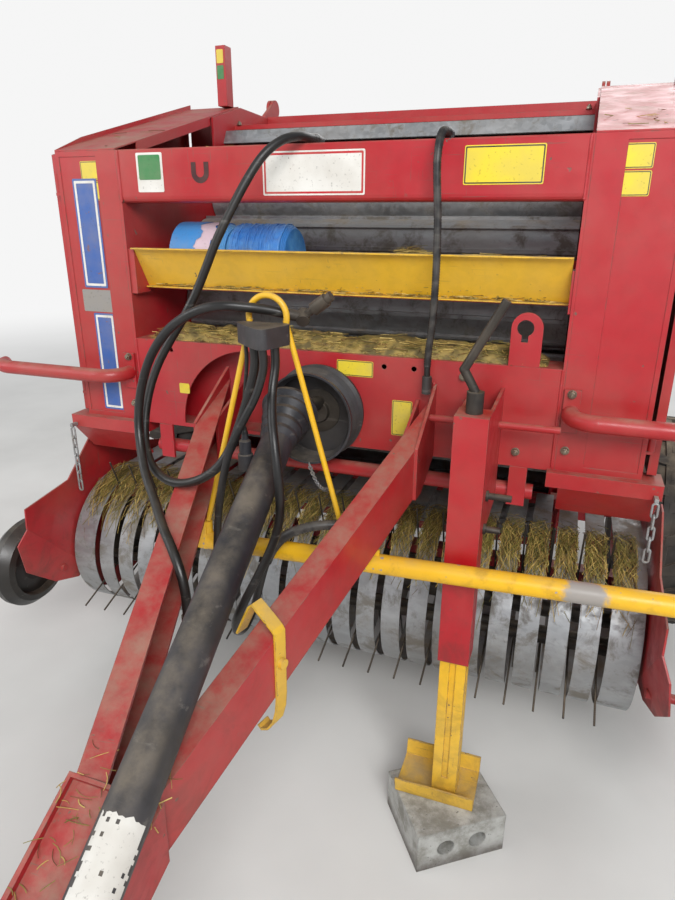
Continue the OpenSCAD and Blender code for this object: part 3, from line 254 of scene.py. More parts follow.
# Helpers for node materials
class Nodes:
    """A material's node tree, with short calls for the nodes used here."""

    def __init__(self, name):
        self.material = bpy.data.materials.new(name)
        self.material.use_nodes = True
        self.tree = self.material.node_tree
        self.shader = self.tree.nodes["Principled BSDF"]
        coordinates = self.add("ShaderNodeTexCoord").outputs
        self.place, self.facing = coordinates["Object"], coordinates["Normal"]

    def add(self, kind, **settings):
        node = self.tree.nodes.new(kind)
        for key, value in settings.items():
            setattr(node, key, value)
        return node

    def link(self, source, target):
        self.tree.links.new(source, target)

    def put(self, socket, value):
        if isinstance(value, bpy.types.NodeSocket):
            self.link(value, socket)
        else:
            socket.default_value = value

    def stretched(self, stretch):
        mapping = self.add("ShaderNodeMapping")
        mapping.inputs["Scale"].default_value = stretch
        self.link(self.place, mapping.inputs["Vector"])
        return mapping.outputs["Vector"]

    def noise(self, scale, detail=3.0, rough=0.55, stretch=(1, 1, 1), bend=0.0):
        place = self.stretched(stretch)
        node = self.add("ShaderNodeTexNoise")
        node.inputs["Scale"].default_value = scale
        node.inputs["Detail"].default_value = detail
        node.inputs["Roughness"].default_value = rough
        node.inputs["Distortion"].default_value = bend
        self.link(place, node.inputs["Vector"])
        return node.outputs["Fac"]

    def cells(self, scale):
        node = self.add("ShaderNodeTexVoronoi")
        node.inputs["Scale"].default_value = scale
        self.link(self.place, node.inputs["Vector"])
        return node.outputs["Distance"], node.outputs["Color"]

    def ramp(self, value, low, high, to_low=0.0, to_high=1.0):
        node = self.add("ShaderNodeMapRange")
        node.interpolation_type = "SMOOTHSTEP"
        self.put(node.inputs["Value"], value)
        node.inputs["From Min"].default_value = low
        node.inputs["From Max"].default_value = high
        node.inputs["To Min"].default_value = to_low
        node.inputs["To Max"].default_value = to_high
        return node.outputs["Result"]

    def math(self, operation, first, second=0.0):
        node = self.add("ShaderNodeMath", operation=operation)
        node.use_clamp = operation in ("ADD", "MULTIPLY", "SUBTRACT")
        self.put(node.inputs[0], first)
        self.put(node.inputs[1], second)
        return node.outputs[0]

    def times(self, *values):
        result = values[0]
        for value in values[1:]:
            result = self.math("MULTIPLY", result, value)
        return result

    def mix(self, amount, first, second):
        node = self.add("ShaderNodeMix", data_type="RGBA")
        self.put(node.inputs[0], amount)
        self.put(node.inputs[6], first)
        self.put(node.inputs[7], second)
        return node.outputs[2]

    def part_of(self, vector, axis):
        node = self.add("ShaderNodeSeparateXYZ")
        self.link(vector, node.inputs[0])
        return node.outputs[axis]

    def rounded(self, radius):
        """The surface's normal with its sharp edges rounded."""
        node = self.add("ShaderNodeBevel", samples=4)
        node.inputs["Radius"].default_value = radius
        return node.outputs["Normal"]

    def worn_edges(self, radius):
        """How far the rounded normal leans from the true one: high along sharp edges."""
        soft = self.rounded(radius)
        flat = self.add("ShaderNodeNewGeometry").outputs["True Normal"]
        dot = self.add("ShaderNodeVectorMath", operation="DOT_PRODUCT")
        self.link(soft, dot.inputs[0])
        self.link(flat, dot.inputs[1])
        return self.ramp(dot.outputs["Value"], 0.99, 0.80)

    def bump(self, height, strength, distance, normal=None):
        node = self.add("ShaderNodeBump")
        node.inputs["Strength"].default_value = strength
        node.inputs["Distance"].default_value = distance
        self.put(node.inputs["Height"], height)
        if normal is not None:
            self.link(normal, node.inputs["Normal"])
        return node.outputs["Normal"]

    def finish(self, color, rough, normal=None, metal=0.0, coat=0.0):
        self.put(self.shader.inputs["Base Color"], color)
        self.put(self.shader.inputs["Roughness"], rough)
        self.put(self.shader.inputs["Metallic"], metal)
        self.shader.inputs["Coat Weight"].default_value = coat
        if normal is not None:
            self.link(normal, self.shader.inputs["Normal"])
        return self.material


def rgb(red, green, blue):
    """A display colour from 0 to 255, as the linear colour that a shader takes."""
    def linear(value):
        value /= 255
        return value / 12.92 if value <= 0.04045 else ((value + 0.055) / 1.055) ** 2.4
    return (linear(red), linear(green), linear(blue), 1.0)


DUST = rgb(150, 136, 116)
GRIME = rgb(58, 42, 36)
BARE_STEEL = rgb(96, 78, 68)


def dust_mask(n, amount):
    """Dust that lies on what faces up, in patches, with a thin film everywhere."""
    up = n.ramp(n.part_of(n.facing, "Z"), 0.45, 1.0)
    patches = n.ramp(n.noise(13, 8, 0.68), 0.28, 0.78)
    lying = n.times(up, patches, amount)
    film = n.times(n.ramp(n.noise(2.3, 4, 0.6), 0.38, 0.72), amount * 0.28)
    return n.math("ADD", lying, film)


def painted(name, color, faded, dust=0.62, low_grime=1.0):
    """Gloss paint on steel: faded in clouds, chipped along edges, dusty on top, soiled low down."""
    n = Nodes(name)
    clouds = n.ramp(n.noise(1.6, 4, 0.6), 0.35, 0.70)
    streaks = n.ramp(n.noise(5.0, 4, 0.6, stretch=(6, 6, 0.7)), 0.50, 0.80)
    fine = n.ramp(n.noise(38, 3, 0.6), 0.40, 0.66)
    body = n.mix(n.times(clouds, 0.42), color, faded)
    body = n.mix(n.times(streaks, 0.14), body, faded)
    body = n.mix(n.times(fine, 0.07), body, GRIME)
    height = n.part_of(n.place, "Z")
    low = n.ramp(height, 1.05, 0.25)
    splash = n.ramp(n.noise(11, 6, 0.7, bend=0.6), 0.44, 0.66)
    soil = n.times(low, splash, 0.62 * low_grime)
    body = n.mix(soil, body, GRIME)
    scratch_a = n.ramp(n.noise(7, 2, 0.5, stretch=(1, 14, 60)), 0.685, 0.70)
    scratch_b = n.ramp(n.noise(9, 2, 0.5, stretch=(40, 9, 1)), 0.695, 0.71)
    scratched = n.ramp(n.noise(3.4, 2), 0.5, 0.62)
    scratches = n.times(n.math("ADD", scratch_a, scratch_b), scratched, 0.55)
    body = n.mix(scratches, body, BARE_STEEL)
    edges = n.times(n.worn_edges(0.004), n.ramp(n.noise(24, 4, 0.7), 0.42, 0.60), 0.85)
    spots = n.times(n.ramp(n.noise(46, 2, 0.5), 0.715, 0.735), n.ramp(n.noise(3, 2), 0.45, 0.6))
    bare = n.math("ADD", edges, spots)
    body = n.mix(bare, body, BARE_STEEL)
    dusty = dust_mask(n, dust)
    body = n.mix(dusty, body, DUST)
    rough = n.math("ADD", n.ramp(n.noise(14, 4), 0.3, 0.7, 0.34, 0.48), n.times(dusty, 0.45))
    rough = n.math("ADD", rough, n.times(n.math("ADD", soil, bare), 0.30))
    smooth = n.rounded(0.0022)
    normal = n.bump(n.noise(120, 3, 0.5), 0.06, 0.002, smooth)
    normal = n.bump(n.math("SUBTRACT", 1.0, bare), 0.5, 0.0004, normal)
    return n.finish(body, rough, normal, coat=0.08)


def zinc(name, color, stain):
    """Galvanised steel: a faint spangle, worn brighter in streaks, with crop stain and dust."""
    n = Nodes(name)
    _, spangle = n.cells(70)
    grain = n.part_of(spangle, "X")
    body = n.mix(n.times(grain, 0.22), color, rgb(196, 200, 204))
    rub = n.ramp(n.noise(6, 5, 0.65, stretch=(1, 3, 3)), 0.45, 0.7)
    body = n.mix(n.times(rub, 0.35), body, rgb(200, 203, 206))
    stains = n.ramp(n.noise(13, 6, 0.7, bend=0.4), 0.47, 0.66)
    body = n.mix(n.times(stains, 0.75), body, stain)
    dusty = dust_mask(n, 0.8)
    body = n.mix(dusty, body, DUST)
    metal = n.math("SUBTRACT", 0.85, n.math("ADD", n.times(stains, 0.6), dusty))
    matt = n.times(n.math("ADD", stains, dusty), 0.35)
    rough = n.math("ADD", n.ramp(grain, 0, 1, 0.42, 0.58), matt)
    normal = n.bump(n.noise(60, 4, 0.6), 0.12, 0.001, n.rounded(0.0015))
    return n.finish(body, rough, normal, metal=metal)


def plain(name, color, second, rough=0.6, dust=0.6, metal=0.0, bump=0.15, grain=60):
    """Plastic, rubber or cast metal: two tones, scuffs and dust."""
    n = Nodes(name)
    body = n.mix(n.ramp(n.noise(8, 5, 0.65), 0.38, 0.68), color, second)
    scuffs = n.times(n.ramp(n.noise(5, 4, 0.7, stretch=(1, 5, 9)), 0.60, 0.72), 0.35)
    body = n.mix(scuffs, body, rgb(120, 116, 110))
    dusty = dust_mask(n, dust)
    body = n.mix(dusty, body, DUST)
    edges = n.times(n.worn_edges(0.003), n.ramp(n.noise(30, 3), 0.4, 0.6), 0.30)
    body = n.mix(edges, body, rgb(128, 122, 114))
    level = n.ramp(n.noise(17, 3), 0.3, 0.7, rough - 0.08, rough + 0.08)
    level = n.math("ADD", level, n.times(dusty, 0.4))
    normal = n.bump(n.noise(grain, 4, 0.6), bump, 0.0015, n.rounded(0.0015))
    return n.finish(body, level, normal, metal=metal)


def concrete_block(name):
    n = Nodes(name)
    body = n.mix(n.ramp(n.noise(14, 6, 0.7), 0.35, 0.65), rgb(176, 176, 172), rgb(128, 126, 118))
    holes, _ = n.cells(90)
    pores = n.times(n.ramp(holes, 0.22, 0.08), n.ramp(n.noise(20, 2), 0.45, 0.6))
    body = n.mix(n.times(pores, 0.7), body, rgb(84, 80, 74))
    # Darker towards the bottom, over its lowest 5 cm.
    body = n.mix(n.times(n.ramp(n.part_of(n.place, "Z"), 0.05, 0.0), 0.6), body, GRIME)
    normal = n.bump(n.noise(85, 6, 0.75), 0.7, 0.004, n.rounded(0.006))
    normal = n.bump(n.math("SUBTRACT", 1.0, pores), 0.6, 0.003, normal)
    return n.finish(body, 0.93, normal)


def twine_wound(name, color, second):
    """Twine wound round the X axis, with painted shade as darker blue bands along the windings."""
    n = Nodes(name)
    wave = n.add("ShaderNodeTexWave", bands_direction="X")
    wave.inputs["Scale"].default_value = 90
    wave.inputs["Distortion"].default_value = 3.5
    wave.inputs["Detail"].default_value = 2
    n.link(n.place, wave.inputs["Vector"])
    lines = wave.outputs["Fac"]
    body = n.mix(n.ramp(n.noise(7, 4), 0.4, 0.62), color, second)
    # Painted shade: darker blue along the wave bands, in place of the shading of the wound strands.
    body = n.mix(n.times(lines, 0.35), body, rgb(22, 58, 112))
    return n.finish(body, 0.62, n.bump(lines, 0.5, 0.002))


def lamp_lens(name, color):
    n = Nodes(name)
    ribs = n.add("ShaderNodeTexWave", bands_direction="X")
    ribs.inputs["Scale"].default_value = 60
    n.link(n.place, ribs.inputs["Vector"])
    body = n.mix(n.times(dust_mask(n, 0.9), 0.8), color, DUST)
    return n.finish(body, 0.22, n.bump(ribs.outputs["Fac"], 0.35, 0.0015), coat=0.4)


def sticker(name, color, wear=0.5, dust=0.5):
    """A printed label left blank: rubbed through to grey in places, with dust on it."""
    n = Nodes(name)
    body = n.mix(n.times(n.ramp(n.noise(9, 4), 0.35, 0.7), 0.25), color, DUST)
    rubbed = n.ramp(n.noise(26, 6, 0.75, bend=0.5), 0.72 - 0.16 * wear, 0.74 - 0.14 * wear)
    body = n.mix(n.times(rubbed, 0.8), body, rgb(120, 84, 80))
    specks = n.times(n.ramp(n.noise(150, 3, 0.6), 0.62, 0.70), 0.35)
    body = n.mix(specks, body, GRIME)
    body = n.mix(n.times(n.ramp(n.noise(5, 5, 0.65), 0.42, 0.72), dust * 0.5), body, DUST)
    return n.finish(body, 0.42, n.bump(n.noise(70, 3), 0.08, 0.0006))


def straw_look(name, color, second):
    n = Nodes(name)
    body = n.mix(n.ramp(n.noise(30, 3), 0.35, 0.65), color, second)
    return n.finish(body, 0.7, n.bump(n.noise(400, 2, stretch=(1, 6, 6)), 0.2, 0.0004))


def guard_paint(name, color, faded, bare_at, bare_r):
    """Yellow paint rubbed to bare steel in one place, where the guard is gripped."""
    n = Nodes(name)
    away = n.add("ShaderNodeVectorMath", operation="DISTANCE")
    n.link(n.place, away.inputs[0])
    away.inputs[1].default_value = bare_at
    edge = n.math("ADD", away.outputs["Value"], n.times(n.noise(45, 4, 0.7), 0.05))
    rub = n.ramp(edge, bare_r + 0.035, bare_r + 0.015)
    clouds = n.ramp(n.noise(1.6, 4, 0.6), 0.35, 0.70)
    body = n.mix(n.times(clouds, 0.5), color, faded)
    body = n.mix(n.times(n.ramp(n.noise(18, 5, 0.65), 0.5, 0.7), 0.3), body, GRIME)
    body = n.mix(n.times(dust_mask(n, 0.5), 0.7), body, DUST)
    chips = n.times(n.ramp(n.noise(46, 2, 0.5), 0.69, 0.71), 0.9)
    body = n.mix(n.math("ADD", rub, chips), body, rgb(148, 142, 136))
    rough = n.ramp(n.noise(14, 4), 0.3, 0.7, 0.34, 0.5)
    return n.finish(body, rough, n.bump(rub, 0.3, 0.0006, n.rounded(0.002)))


RED = rgb(166, 8, 22)
RED_FADED = rgb(176, 42, 54)
YELLOW = rgb(226, 174, 10)
YELLOW_FADED = rgb(224, 186, 74)
GRIP_AT = at(0.72, -0.364, 0.842)
GRIP_R = 0.045

MATERIALS = {
    "red": painted("red_paint", RED, RED_FADED),
    "yellow": painted("yellow_paint", YELLOW, YELLOW_FADED, dust=0.6, low_grime=0.5),
    "guard_yellow": guard_paint("guard_yellow_grip", YELLOW, YELLOW_FADED, GRIP_AT, GRIP_R),
    "galvanised": zinc("galvanised_steel", rgb(150, 152, 154), rgb(88, 80, 66)),
    "dark_steel": plain("oily_steel", rgb(46, 43, 42), rgb(72, 66, 60),
                        rough=0.5, dust=0.7, metal=0.6, grain=90),
    "chromed_rod": plain("chromed_rod", rgb(205, 206, 208), rgb(180, 182, 184),
                         rough=0.18, dust=0.25, metal=1.0, bump=0.03),
    "bolt": plain("plated_bolt", rgb(150, 142, 126), rgb(106, 92, 78),
                  rough=0.4, dust=0.5, metal=0.9, bump=0.1),
    "black_plastic": plain("scuffed_black_plastic", rgb(26, 27, 32), rgb(48, 48, 54),
                           rough=0.5, dust=0.45),
    "rubber": plain("smooth_rubber", rgb(20, 20, 21), rgb(30, 30, 31),
                    rough=0.38, dust=0.3, bump=0.06),
    "hose": plain("hose_rubber", rgb(12, 12, 13), rgb(24, 23, 24),
                  rough=0.40, dust=0.14, bump=0.12, grain=260),
    "conduit": plain("ribbed_conduit", rgb(18, 18, 21), rgb(34, 33, 35),
                     rough=0.45, dust=0.25, bump=0.08),
    "tyre": plain("tyre_rubber", rgb(28, 27, 27), rgb(52, 49, 46),
                  rough=0.78, dust=0.9, bump=0.3, grain=140),
    "twine": twine_wound("blue_twine", rgb(44, 120, 196), rgb(90, 160, 216)),
    "twine_bright": plain("bright_twine", rgb(40, 118, 200), rgb(96, 158, 222),
                          rough=0.6, dust=0.2, grain=400),
    "wrap": sticker("torn_wrap", rgb(214, 190, 204), wear=0.2, dust=0.3),
    "wrap_blue": sticker("blue_wrap", rgb(48, 136, 206), wear=0.15, dust=0.25),
    "concrete": concrete_block("concrete"),
    "lamp": lamp_lens("red_lens", rgb(150, 16, 20)),
    "label_white": sticker("label_white", rgb(222, 220, 214), wear=0.25),
    "label_red": sticker("label_red", rgb(186, 28, 40), wear=0.2),
    "label_yellow": sticker("label_yellow", rgb(226, 202, 44), wear=0.35),
    "label_black": sticker("label_black", rgb(34, 32, 32), wear=0.1),
    "label_green": sticker("label_green", rgb(28, 122, 62), wear=0.3),
    "label_blue": sticker("label_blue", rgb(44, 88, 160), wear=0.7),
    "label_grey": sticker("label_grey", rgb(138, 136, 134), wear=0.4),
    "smudge": sticker("dark_smudge", rgb(58, 10, 16), wear=0.4, dust=0.1),
    "hay": straw_look("hay_mat", rgb(150, 128, 70), rgb(92, 80, 44)),
    "straw_pale": straw_look("straw_pale", rgb(206, 180, 104), rgb(170, 142, 78)),
    "straw_green": straw_look("straw_green", rgb(140, 130, 62), rgb(112, 104, 52)),
    "straw_brown": straw_look("straw_brown", rgb(124, 92, 52), rgb(92, 70, 44)),
    "weld": plain("painted_weld", RED, RED_FADED, rough=0.42, dust=0.5, bump=0.25, grain=220),
}
FINISH_OF = {"guard_tube": "guard_yellow"}


def dress_nodes():
    """Gives each CAD node, and the cord that stands for one, its slot's material."""
    for part in frame["record"]["subparts"]:
        name = part["node"]
        look = MATERIALS[FINISH_OF.get(name, part["material_slot"])]
        mesh = NODES[name].data
        mesh.materials.clear()
        mesh.materials.append(look)
        if name in CORDS:
            cord = CORDS[name][0]
            cord.data.materials.append(look)


dress_nodes()


def skin_of(names, others=()):
    """The surface of these CAD nodes, and of other pieces, at rest, for rays."""
    points, faces = [], []
    for node in [NODES[name] for name in names] + list(others):
        base = len(points)
        points += [node.matrix_world @ vertex.co for vertex in node.data.vertices]
        faces += [[base + i for i in face.vertices] for face in node.data.polygons]
    return BVHTree.FromPolygons(points, faces)


bpy.context.view_layer.update()
SOFT = set(ROUTES) | {"chains", "plug", "hose_couplings", "cable_glands", "hose_tie"}
FIXED = [name for name in frame["record"]["behaviour"]["bodies"]["frame"] if name not in SOFT]
HARD = skin_of([name for name in NODES if name not in SOFT])
AHEAD = Vector((0, 1, 0))
DOWN = Vector((0, 0, -1))


def seat(start, direction, reach=1.0, skin=HARD):
    """Where a ray from a point meets the machine, and the normal there, turned towards the ray."""
    place, normal, _, _ = skin.ray_cast(start, direction, reach)
    if place is None:
        return None, None
    return place, normal if normal.dot(direction) < 0 else -normal


# Blank labels and plates on the front, as (x from, x to, z from, z to, look, border, its look)
LABELS = [
    (-0.174, 0.104, 1.649, 1.754, "label_white", 0.005, "label_red"),
    (-0.560, -0.476, 1.660, 1.761, "label_white", 0.0, None),
    (-0.553, -0.483, 1.692, 1.755, "label_green", 0.0, None),
    (0.346, 0.528, 1.669, 1.754, "label_yellow", 0.003, "label_black"),
    (-0.752, -0.690, 1.640, 1.690, "label_yellow", 0.002, "label_black"),
    (-0.752, -0.690, 1.694, 1.744, "label_yellow", 0.002, "label_black"),
    (0.691, 0.751, 1.642, 1.694, "label_yellow", 0.002, "label_black"),
    (0.691, 0.751, 1.698, 1.749, "label_yellow", 0.002, "label_black"),
    (0.032, 0.136, 1.186, 1.230, "label_yellow", 0.002, "label_black"),
    (0.192, 0.248, 1.030, 1.130, "label_yellow", 0.002, "label_black"),
    (-0.479, -0.444, 1.088, 1.119, "label_yellow", 0.0, None),
    (-0.786, -0.702, 1.392, 1.698, "label_blue", 0.007, "label_white"),
    (-0.800, -0.688, 1.320, 1.386, "label_grey", 0.0, None),
    (-0.767, -0.692, 1.010, 1.316, "label_blue", 0.007, "label_white"),
]
LABEL_T = 0.0005
LABEL_GAP = 0.0003
LABEL_CORNER = 0.004
BORDER_LIFT = 0.00025
COVER_LIFT = 0.0010
SMUDGE_AT = (-0.360, 1.708)
LABEL_LOOKS = ["label_white", "label_red", "label_green", "label_yellow", "label_black",
               "label_blue", "label_grey", "smudge"]
# The patches on the indicator post, as (top and bottom below the post's top, look)
POST_PATCHES = [(0.012, 0.055, "label_yellow"), (0.062, 0.105, "label_green")]


def rounded_outline(x0, x1, z0, z1, radius, steps=4):
    """A rectangle with round corners, as points (x, z) in turn."""
    corners = [(x1 - radius, z1 - radius, 0), (x0 + radius, z1 - radius, 90),
               (x0 + radius, z0 + radius, 180), (x1 - radius, z0 + radius, 270)]
    out = []
    for cx, cz, start in corners:
        for k in range(steps + 1):
            turn = math.radians(start + 90 * k / steps)
            out.append((cx + radius * math.cos(turn), cz + radius * math.sin(turn)))
    return out


def add_label(shape, low_x, high_x, low_z, high_z, look, border, border_look, lift):
    """A thin sheet that lies on the front face, with a printed border where the label has one."""
    middle, _ = seat(at((low_x + high_x) / 2, -0.05, (low_z + high_z) / 2), AHEAD)
    face_y = middle.y - FRONT_Y - LABEL_GAP - lift
    outline = rounded_outline(low_x, high_x, low_z, high_z, LABEL_CORNER)
    back = [at(x, face_y, z) for x, z in outline]
    front = [at(x, face_y - LABEL_T, z) for x, z in outline]
    shape.rings([back, front], LABEL_LOOKS.index(look))
    if border:
        inset = border * 0.8
        outer = rounded_outline(low_x + inset, high_x - inset, low_z + inset, high_z - inset, 0.003)
        inner = rounded_outline(low_x + inset + border, high_x - inset - border,
                                low_z + inset + border, high_z - inset - border, 0.002)
        y = face_y - LABEL_T - BORDER_LIFT
        points = [at(x, y, z) for x, z in outer + inner]
        count = len(outer)
        faces = [(i, count + i, count + (i + 1) % count, (i + 1) % count) for i in range(count)]
        shape.add(points, faces, LABEL_LOOKS.index(border_look))


def add_smudge(shape):
    """The dark mark on the top beam, shaped like a loop that is open at the top."""
    y, radius, wide, tall = -0.0007, 0.012, 0.015, 0.026
    turns = [math.radians(degrees) for degrees in range(180, 361, 15)]
    arc = [(radius * math.cos(turn), radius * math.sin(turn)) for turn in turns]
    line = [(-radius, tall)] + arc + [(radius, tall)]
    middle_x, middle_z = SMUDGE_AT
    side = 1 + wide / radius
    outer = [at(middle_x + x * side, y, middle_z + (z if z > 0 else z * side)) for x, z in line]
    inner = [at(middle_x + x, y, middle_z + z) for x, z in line]
    faces = [grid_face(len(line), 0, i) for i in range(len(line) - 1)]
    shape.add(outer + inner, faces, LABEL_LOOKS.index("smudge"))


def make_labels():
    shape = Shape()
    for i, (x0, x1, z0, z1, *look) in enumerate(LABELS):
        covers = any(o[0] < x1 and o[1] > x0 and o[2] < z1 and o[3] > z0 for o in LABELS[:i])
        add_label(shape, x0, x1, z0, z1, *look, lift=COVER_LIFT if covers else 0.0)
    add_smudge(shape)
    shape.make("blank_labels", "frame", LABEL_LOOKS)


def make_post_patches():
    """Two blank patches near the top of the indicator post."""
    low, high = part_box("indicator")
    x0, x1, y = low[0] + 0.004, low[0] + 0.030, low[1] - 0.0004
    shape = Shape()
    for top, bottom, look in POST_PATCHES:
        outline = rounded_outline(x0, x1, high[2] - bottom, high[2] - top, 0.003)
        shape.rings([[Vector((x, face_y, z)) for x, z in outline] for face_y in (y, y - LABEL_T)],
                    LABEL_LOOKS.index(look))
    shape.make("indicator_patches", "frame", LABEL_LOOKS)


make_labels()
make_post_patches()


# The worn sticker on the drive shaft's guard: metres along the shaft, and degrees round it
SHAFT_FROM = at(-0.020, -0.250, 1.105)
SHAFT_TO = at(0.073, -1.085, 0.721)
STICKER_R = 0.0407
STICKER_SPAN = (0.905, 1.075)
STICKER_TURN = (-62, 62)
STICKER_ROWS, STICKER_COLUMNS = 26, 16


def make_guard_sticker():
    """A sheet bent round the guard, ragged at its ends and torn mostly along its sides."""
    axis = (SHAFT_TO - SHAFT_FROM).normalized()
    up = CAMERA_AT - SHAFT_TO
    up = (up - axis * up.dot(axis)).normalized()
    side = axis.cross(up)
    rng = random.Random(5)
    shape, rows, columns = Shape(), STICKER_ROWS, STICKER_COLUMNS
    (start, end), (first, last) = STICKER_SPAN, STICKER_TURN
    points = []
    for i in range(rows + 1):
        for k in range(columns + 1):
            ragged = 0.006 * (rng.random() - 0.5) if i in (0, rows) else 0.0
            along = start + (end - start) * i / rows + ragged
            turn = math.radians(first + (last - first) * k / columns)
            points.append(SHAFT_FROM + axis * along + around(up, side, turn) * STICKER_R)
    faces = []
    for i in range(rows):
        for k in range(columns):
            torn = rng.random() < (0.55 if k in (0, columns - 1) else 0.035)
            if not torn:
                faces.append(grid_face(columns + 1, i, k))
    shape.add(points, faces)
    shape.make("guard_sticker", "drive_shaft", ["label_white"])


make_guard_sticker()


# Bolts. Profiles are (radius, height) in halves of the bolt's size; front bolts are (x, z)
WASHER_PROFILE = ((1.178, 0.0), (1.178, 0.22), (0.713, 0.24))
HEX_PROFILE = ((1.0, 0.2), (1.0, 0.95), (0.9, 1.08))
STUD_PROFILE = ((0.52, 0.9), (0.52, 1.5), (0.42, 1.62))
FRONT_BOLTS = [
    (0.379, 1.209), (0.527, 1.022), (0.648, 1.189), (0.641, 1.127), (0.318, 0.934),
    (-0.587, 1.487), (-0.534, 1.413), (0.648, 1.040), (-0.648, 1.189), (-0.648, 1.127),
    (-0.648, 1.040)]
FRONT_BOLT, SIDE_BOLT, ROOF_BOLT, WHEEL_NUT = 0.019, 0.017, 0.016, 0.022
WHEEL_AT = (1.030, 1.100, 0.422)
NUTS, NUT_RING = 6, 0.070
SEAL_AT = (-0.020, 0.0, 1.080)
SEAL_PROFILE = [(0.0625, -0.001), (0.0625, 0.006), (0.050, 0.009), (0.034, 0.010), (0.030, 0.020)]


def add_bolt(shape, rng, place, normal, size):
    """A washer, a hexagon head turned at random, and the stud's end."""
    washer, head, stud = [[(size / 2 * r, size / 2 * h) for r, h in profile]
                          for profile in (WASHER_PROFILE, HEX_PROFILE, STUD_PROFILE)]
    shape.turned(place - normal * 0.0005, normal, washer, 20)
    shape.turned(place, normal, head, 6, spin=rng.random())
    shape.turned(place, normal, stud, 12)


def bolt_row(shape, rng, start, end, count, direction, size):
    """Bolts at equal steps, each where its ray meets a face that is square to the ray."""
    for k in range(count):
        aim = start.lerp(end, k / max(1, count - 1))
        place, normal = seat(aim - direction * 0.25, direction, 0.6)
        if place is not None and normal.dot(direction) < -0.9:
            add_bolt(shape, rng, place, normal, size)


def make_frame_bolts(rng):
    shape = Shape()
    for x, z in FRONT_BOLTS:
        bolt_row(shape, rng, at(x, 0, z), at(x, 0, z), 1, AHEAD, FRONT_BOLT)
    for side in (-1, 1):
        wall, roof = side * 0.83, side * 0.60
        inward = Vector((-side, 0, 0))
        bolt_row(shape, rng, at(wall, 0.62, 1.05), at(wall, 0.62, 1.60), 5, inward, SIDE_BOLT)
        bolt_row(shape, rng, at(roof, 0.30, 1.74), at(roof, 0.70, 1.80), 3, DOWN, ROOF_BOLT)
    shape.make("frame_bolts", "frame", ["bolt"])


def make_shaft_seal():
    shape = Shape()
    shape.turned(at(*SEAL_AT), -AHEAD, SEAL_PROFILE, 40)
    shape.make("shaft_seal", "frame", ["dark_steel"])


def make_wheel_nuts(name, body, side, rng):
    shape, out = Shape(), Vector((side, 0, 0))
    hub = at(side * WHEEL_AT[0], WHEEL_AT[1], WHEEL_AT[2])
    for k in range(NUTS):
        turn = math.tau * k / NUTS
        aim = hub + Vector((0, math.cos(turn), math.sin(turn))) * NUT_RING + out * 0.25
        place, _ = seat(aim, -out, 0.4)
        if place is not None:
            add_bolt(shape, rng, place, out, WHEEL_NUT)
    shape.make(name, body, ["bolt"])


bolt_turns = random.Random(11)
make_frame_bolts(bolt_turns)
make_shaft_seal()
make_wheel_nuts("wheel_nuts_left", "wheel_left", 1, bolt_turns)
make_wheel_nuts("wheel_nuts_right", "wheel_right", -1, bolt_turns)


# Weld beads, as pairs of ends: one on the drawbar, and two on each front post
WELDS = [
    ((0.304, -0.003, 1.190), (0.304, -0.003, 1.010)),
    ((0.620, 0.0, 1.633), (0.620, 0.0, 1.770)),
    ((-0.620, 0.0, 1.633), (-0.620, 0.0, 1.770)),
    ((0.620, 0.0, 1.247), (0.620, 0.0, 0.990)),
    ((-0.620, 0.0, 1.247), (-0.620, 0.0, 0.990)),
]


def add_weld(shape, start, end, radius=0.0032, pitch=0.0035):
    rng = random.Random(3)
    count = max(4, round((end - start).length / pitch))
    line = [start.lerp(end, k / count) for k in range(count + 1)]
    radii = [radius * (1 + 0.18 * (k % 2) + 0.14 * (rng.random() - 0.5)) for k in range(count + 1)]
    radii[0] = radii[-1] = radius * 0.4
    shape.tube(line, radii, 8)


def make_welds():
    shape = Shape()
    for start, end in WELDS:
        add_weld(shape, at(*start), at(*end))
    shape.make("weld_beads", "frame", ["weld"])


make_welds()


# Ribbed sleeves on the cable down the front and on the loop's last stretch, and rubber reliefs
SLEEVE_PITCH = 0.0066
RELIEF_STEP = 0.002
RELIEF_FLARE = 0.0042
GROOVE_DEPTH = 0.0012
GROOVES = (5, 9, 13)
# Reliefs, as (cord, 1 at its exit or -1 at its far end, radius, length)
RELIEFS = [
    ("hose_crossing", 1, 0.0112, 0.034),
    ("top_cable", 1, 0.0083, 0.034),
    ("hose_loop", -1, 0.0108, 0.034),
    ("plug_cable", -1, 0.0047, 0.022),
]


def add_sleeve(name, line, radius, depth, sides=14):
    shape = Shape()
    steps = spaced(line, SLEEVE_PITCH / 2)
    radii = [radius + (depth if k % 2 else 0.0) for k in range(len(steps))]
    shape.tube(steps, radii, sides)
    return shape.make(name, "frame", ["conduit"], sharp=80)


def add_relief(shape, line, radius, length):
    """A tapered rubber relief with three grooves, where a cord leaves a fitting."""
    steps = spaced(line, RELIEF_STEP)[:round(length / RELIEF_STEP) + 1]
    last = len(steps) - 1
    radii = [radius + RELIEF_FLARE * (1 - i / last) - (GROOVE_DEPTH if i in GROOVES else 0)
             for i in range(last + 1)]
    shape.tube(steps, radii, CORD_SIDES)


def make_cord_details():
    loop, top = CORDS["hose_loop"][1], CORDS["top_cable"][1]
    loop_sleeve = add_sleeve("loop_sleeve", loop[-WALK_STEPS * 5:-2], 0.0108, 0.0020)
    top_sleeve = add_sleeve("top_sleeve", top[4:-4], 0.0083, 0.0018, 12)
    shape = Shape()
    for name, order, radius, length in RELIEFS:
        add_relief(shape, CORDS[name][1][::order], radius, length)
    shape.make("cord_reliefs", "frame", ["rubber"])
    return loop_sleeve, top_sleeve


def declare_cords():
    loop_sleeve, top_sleeve = make_cord_details()


declare_cords()


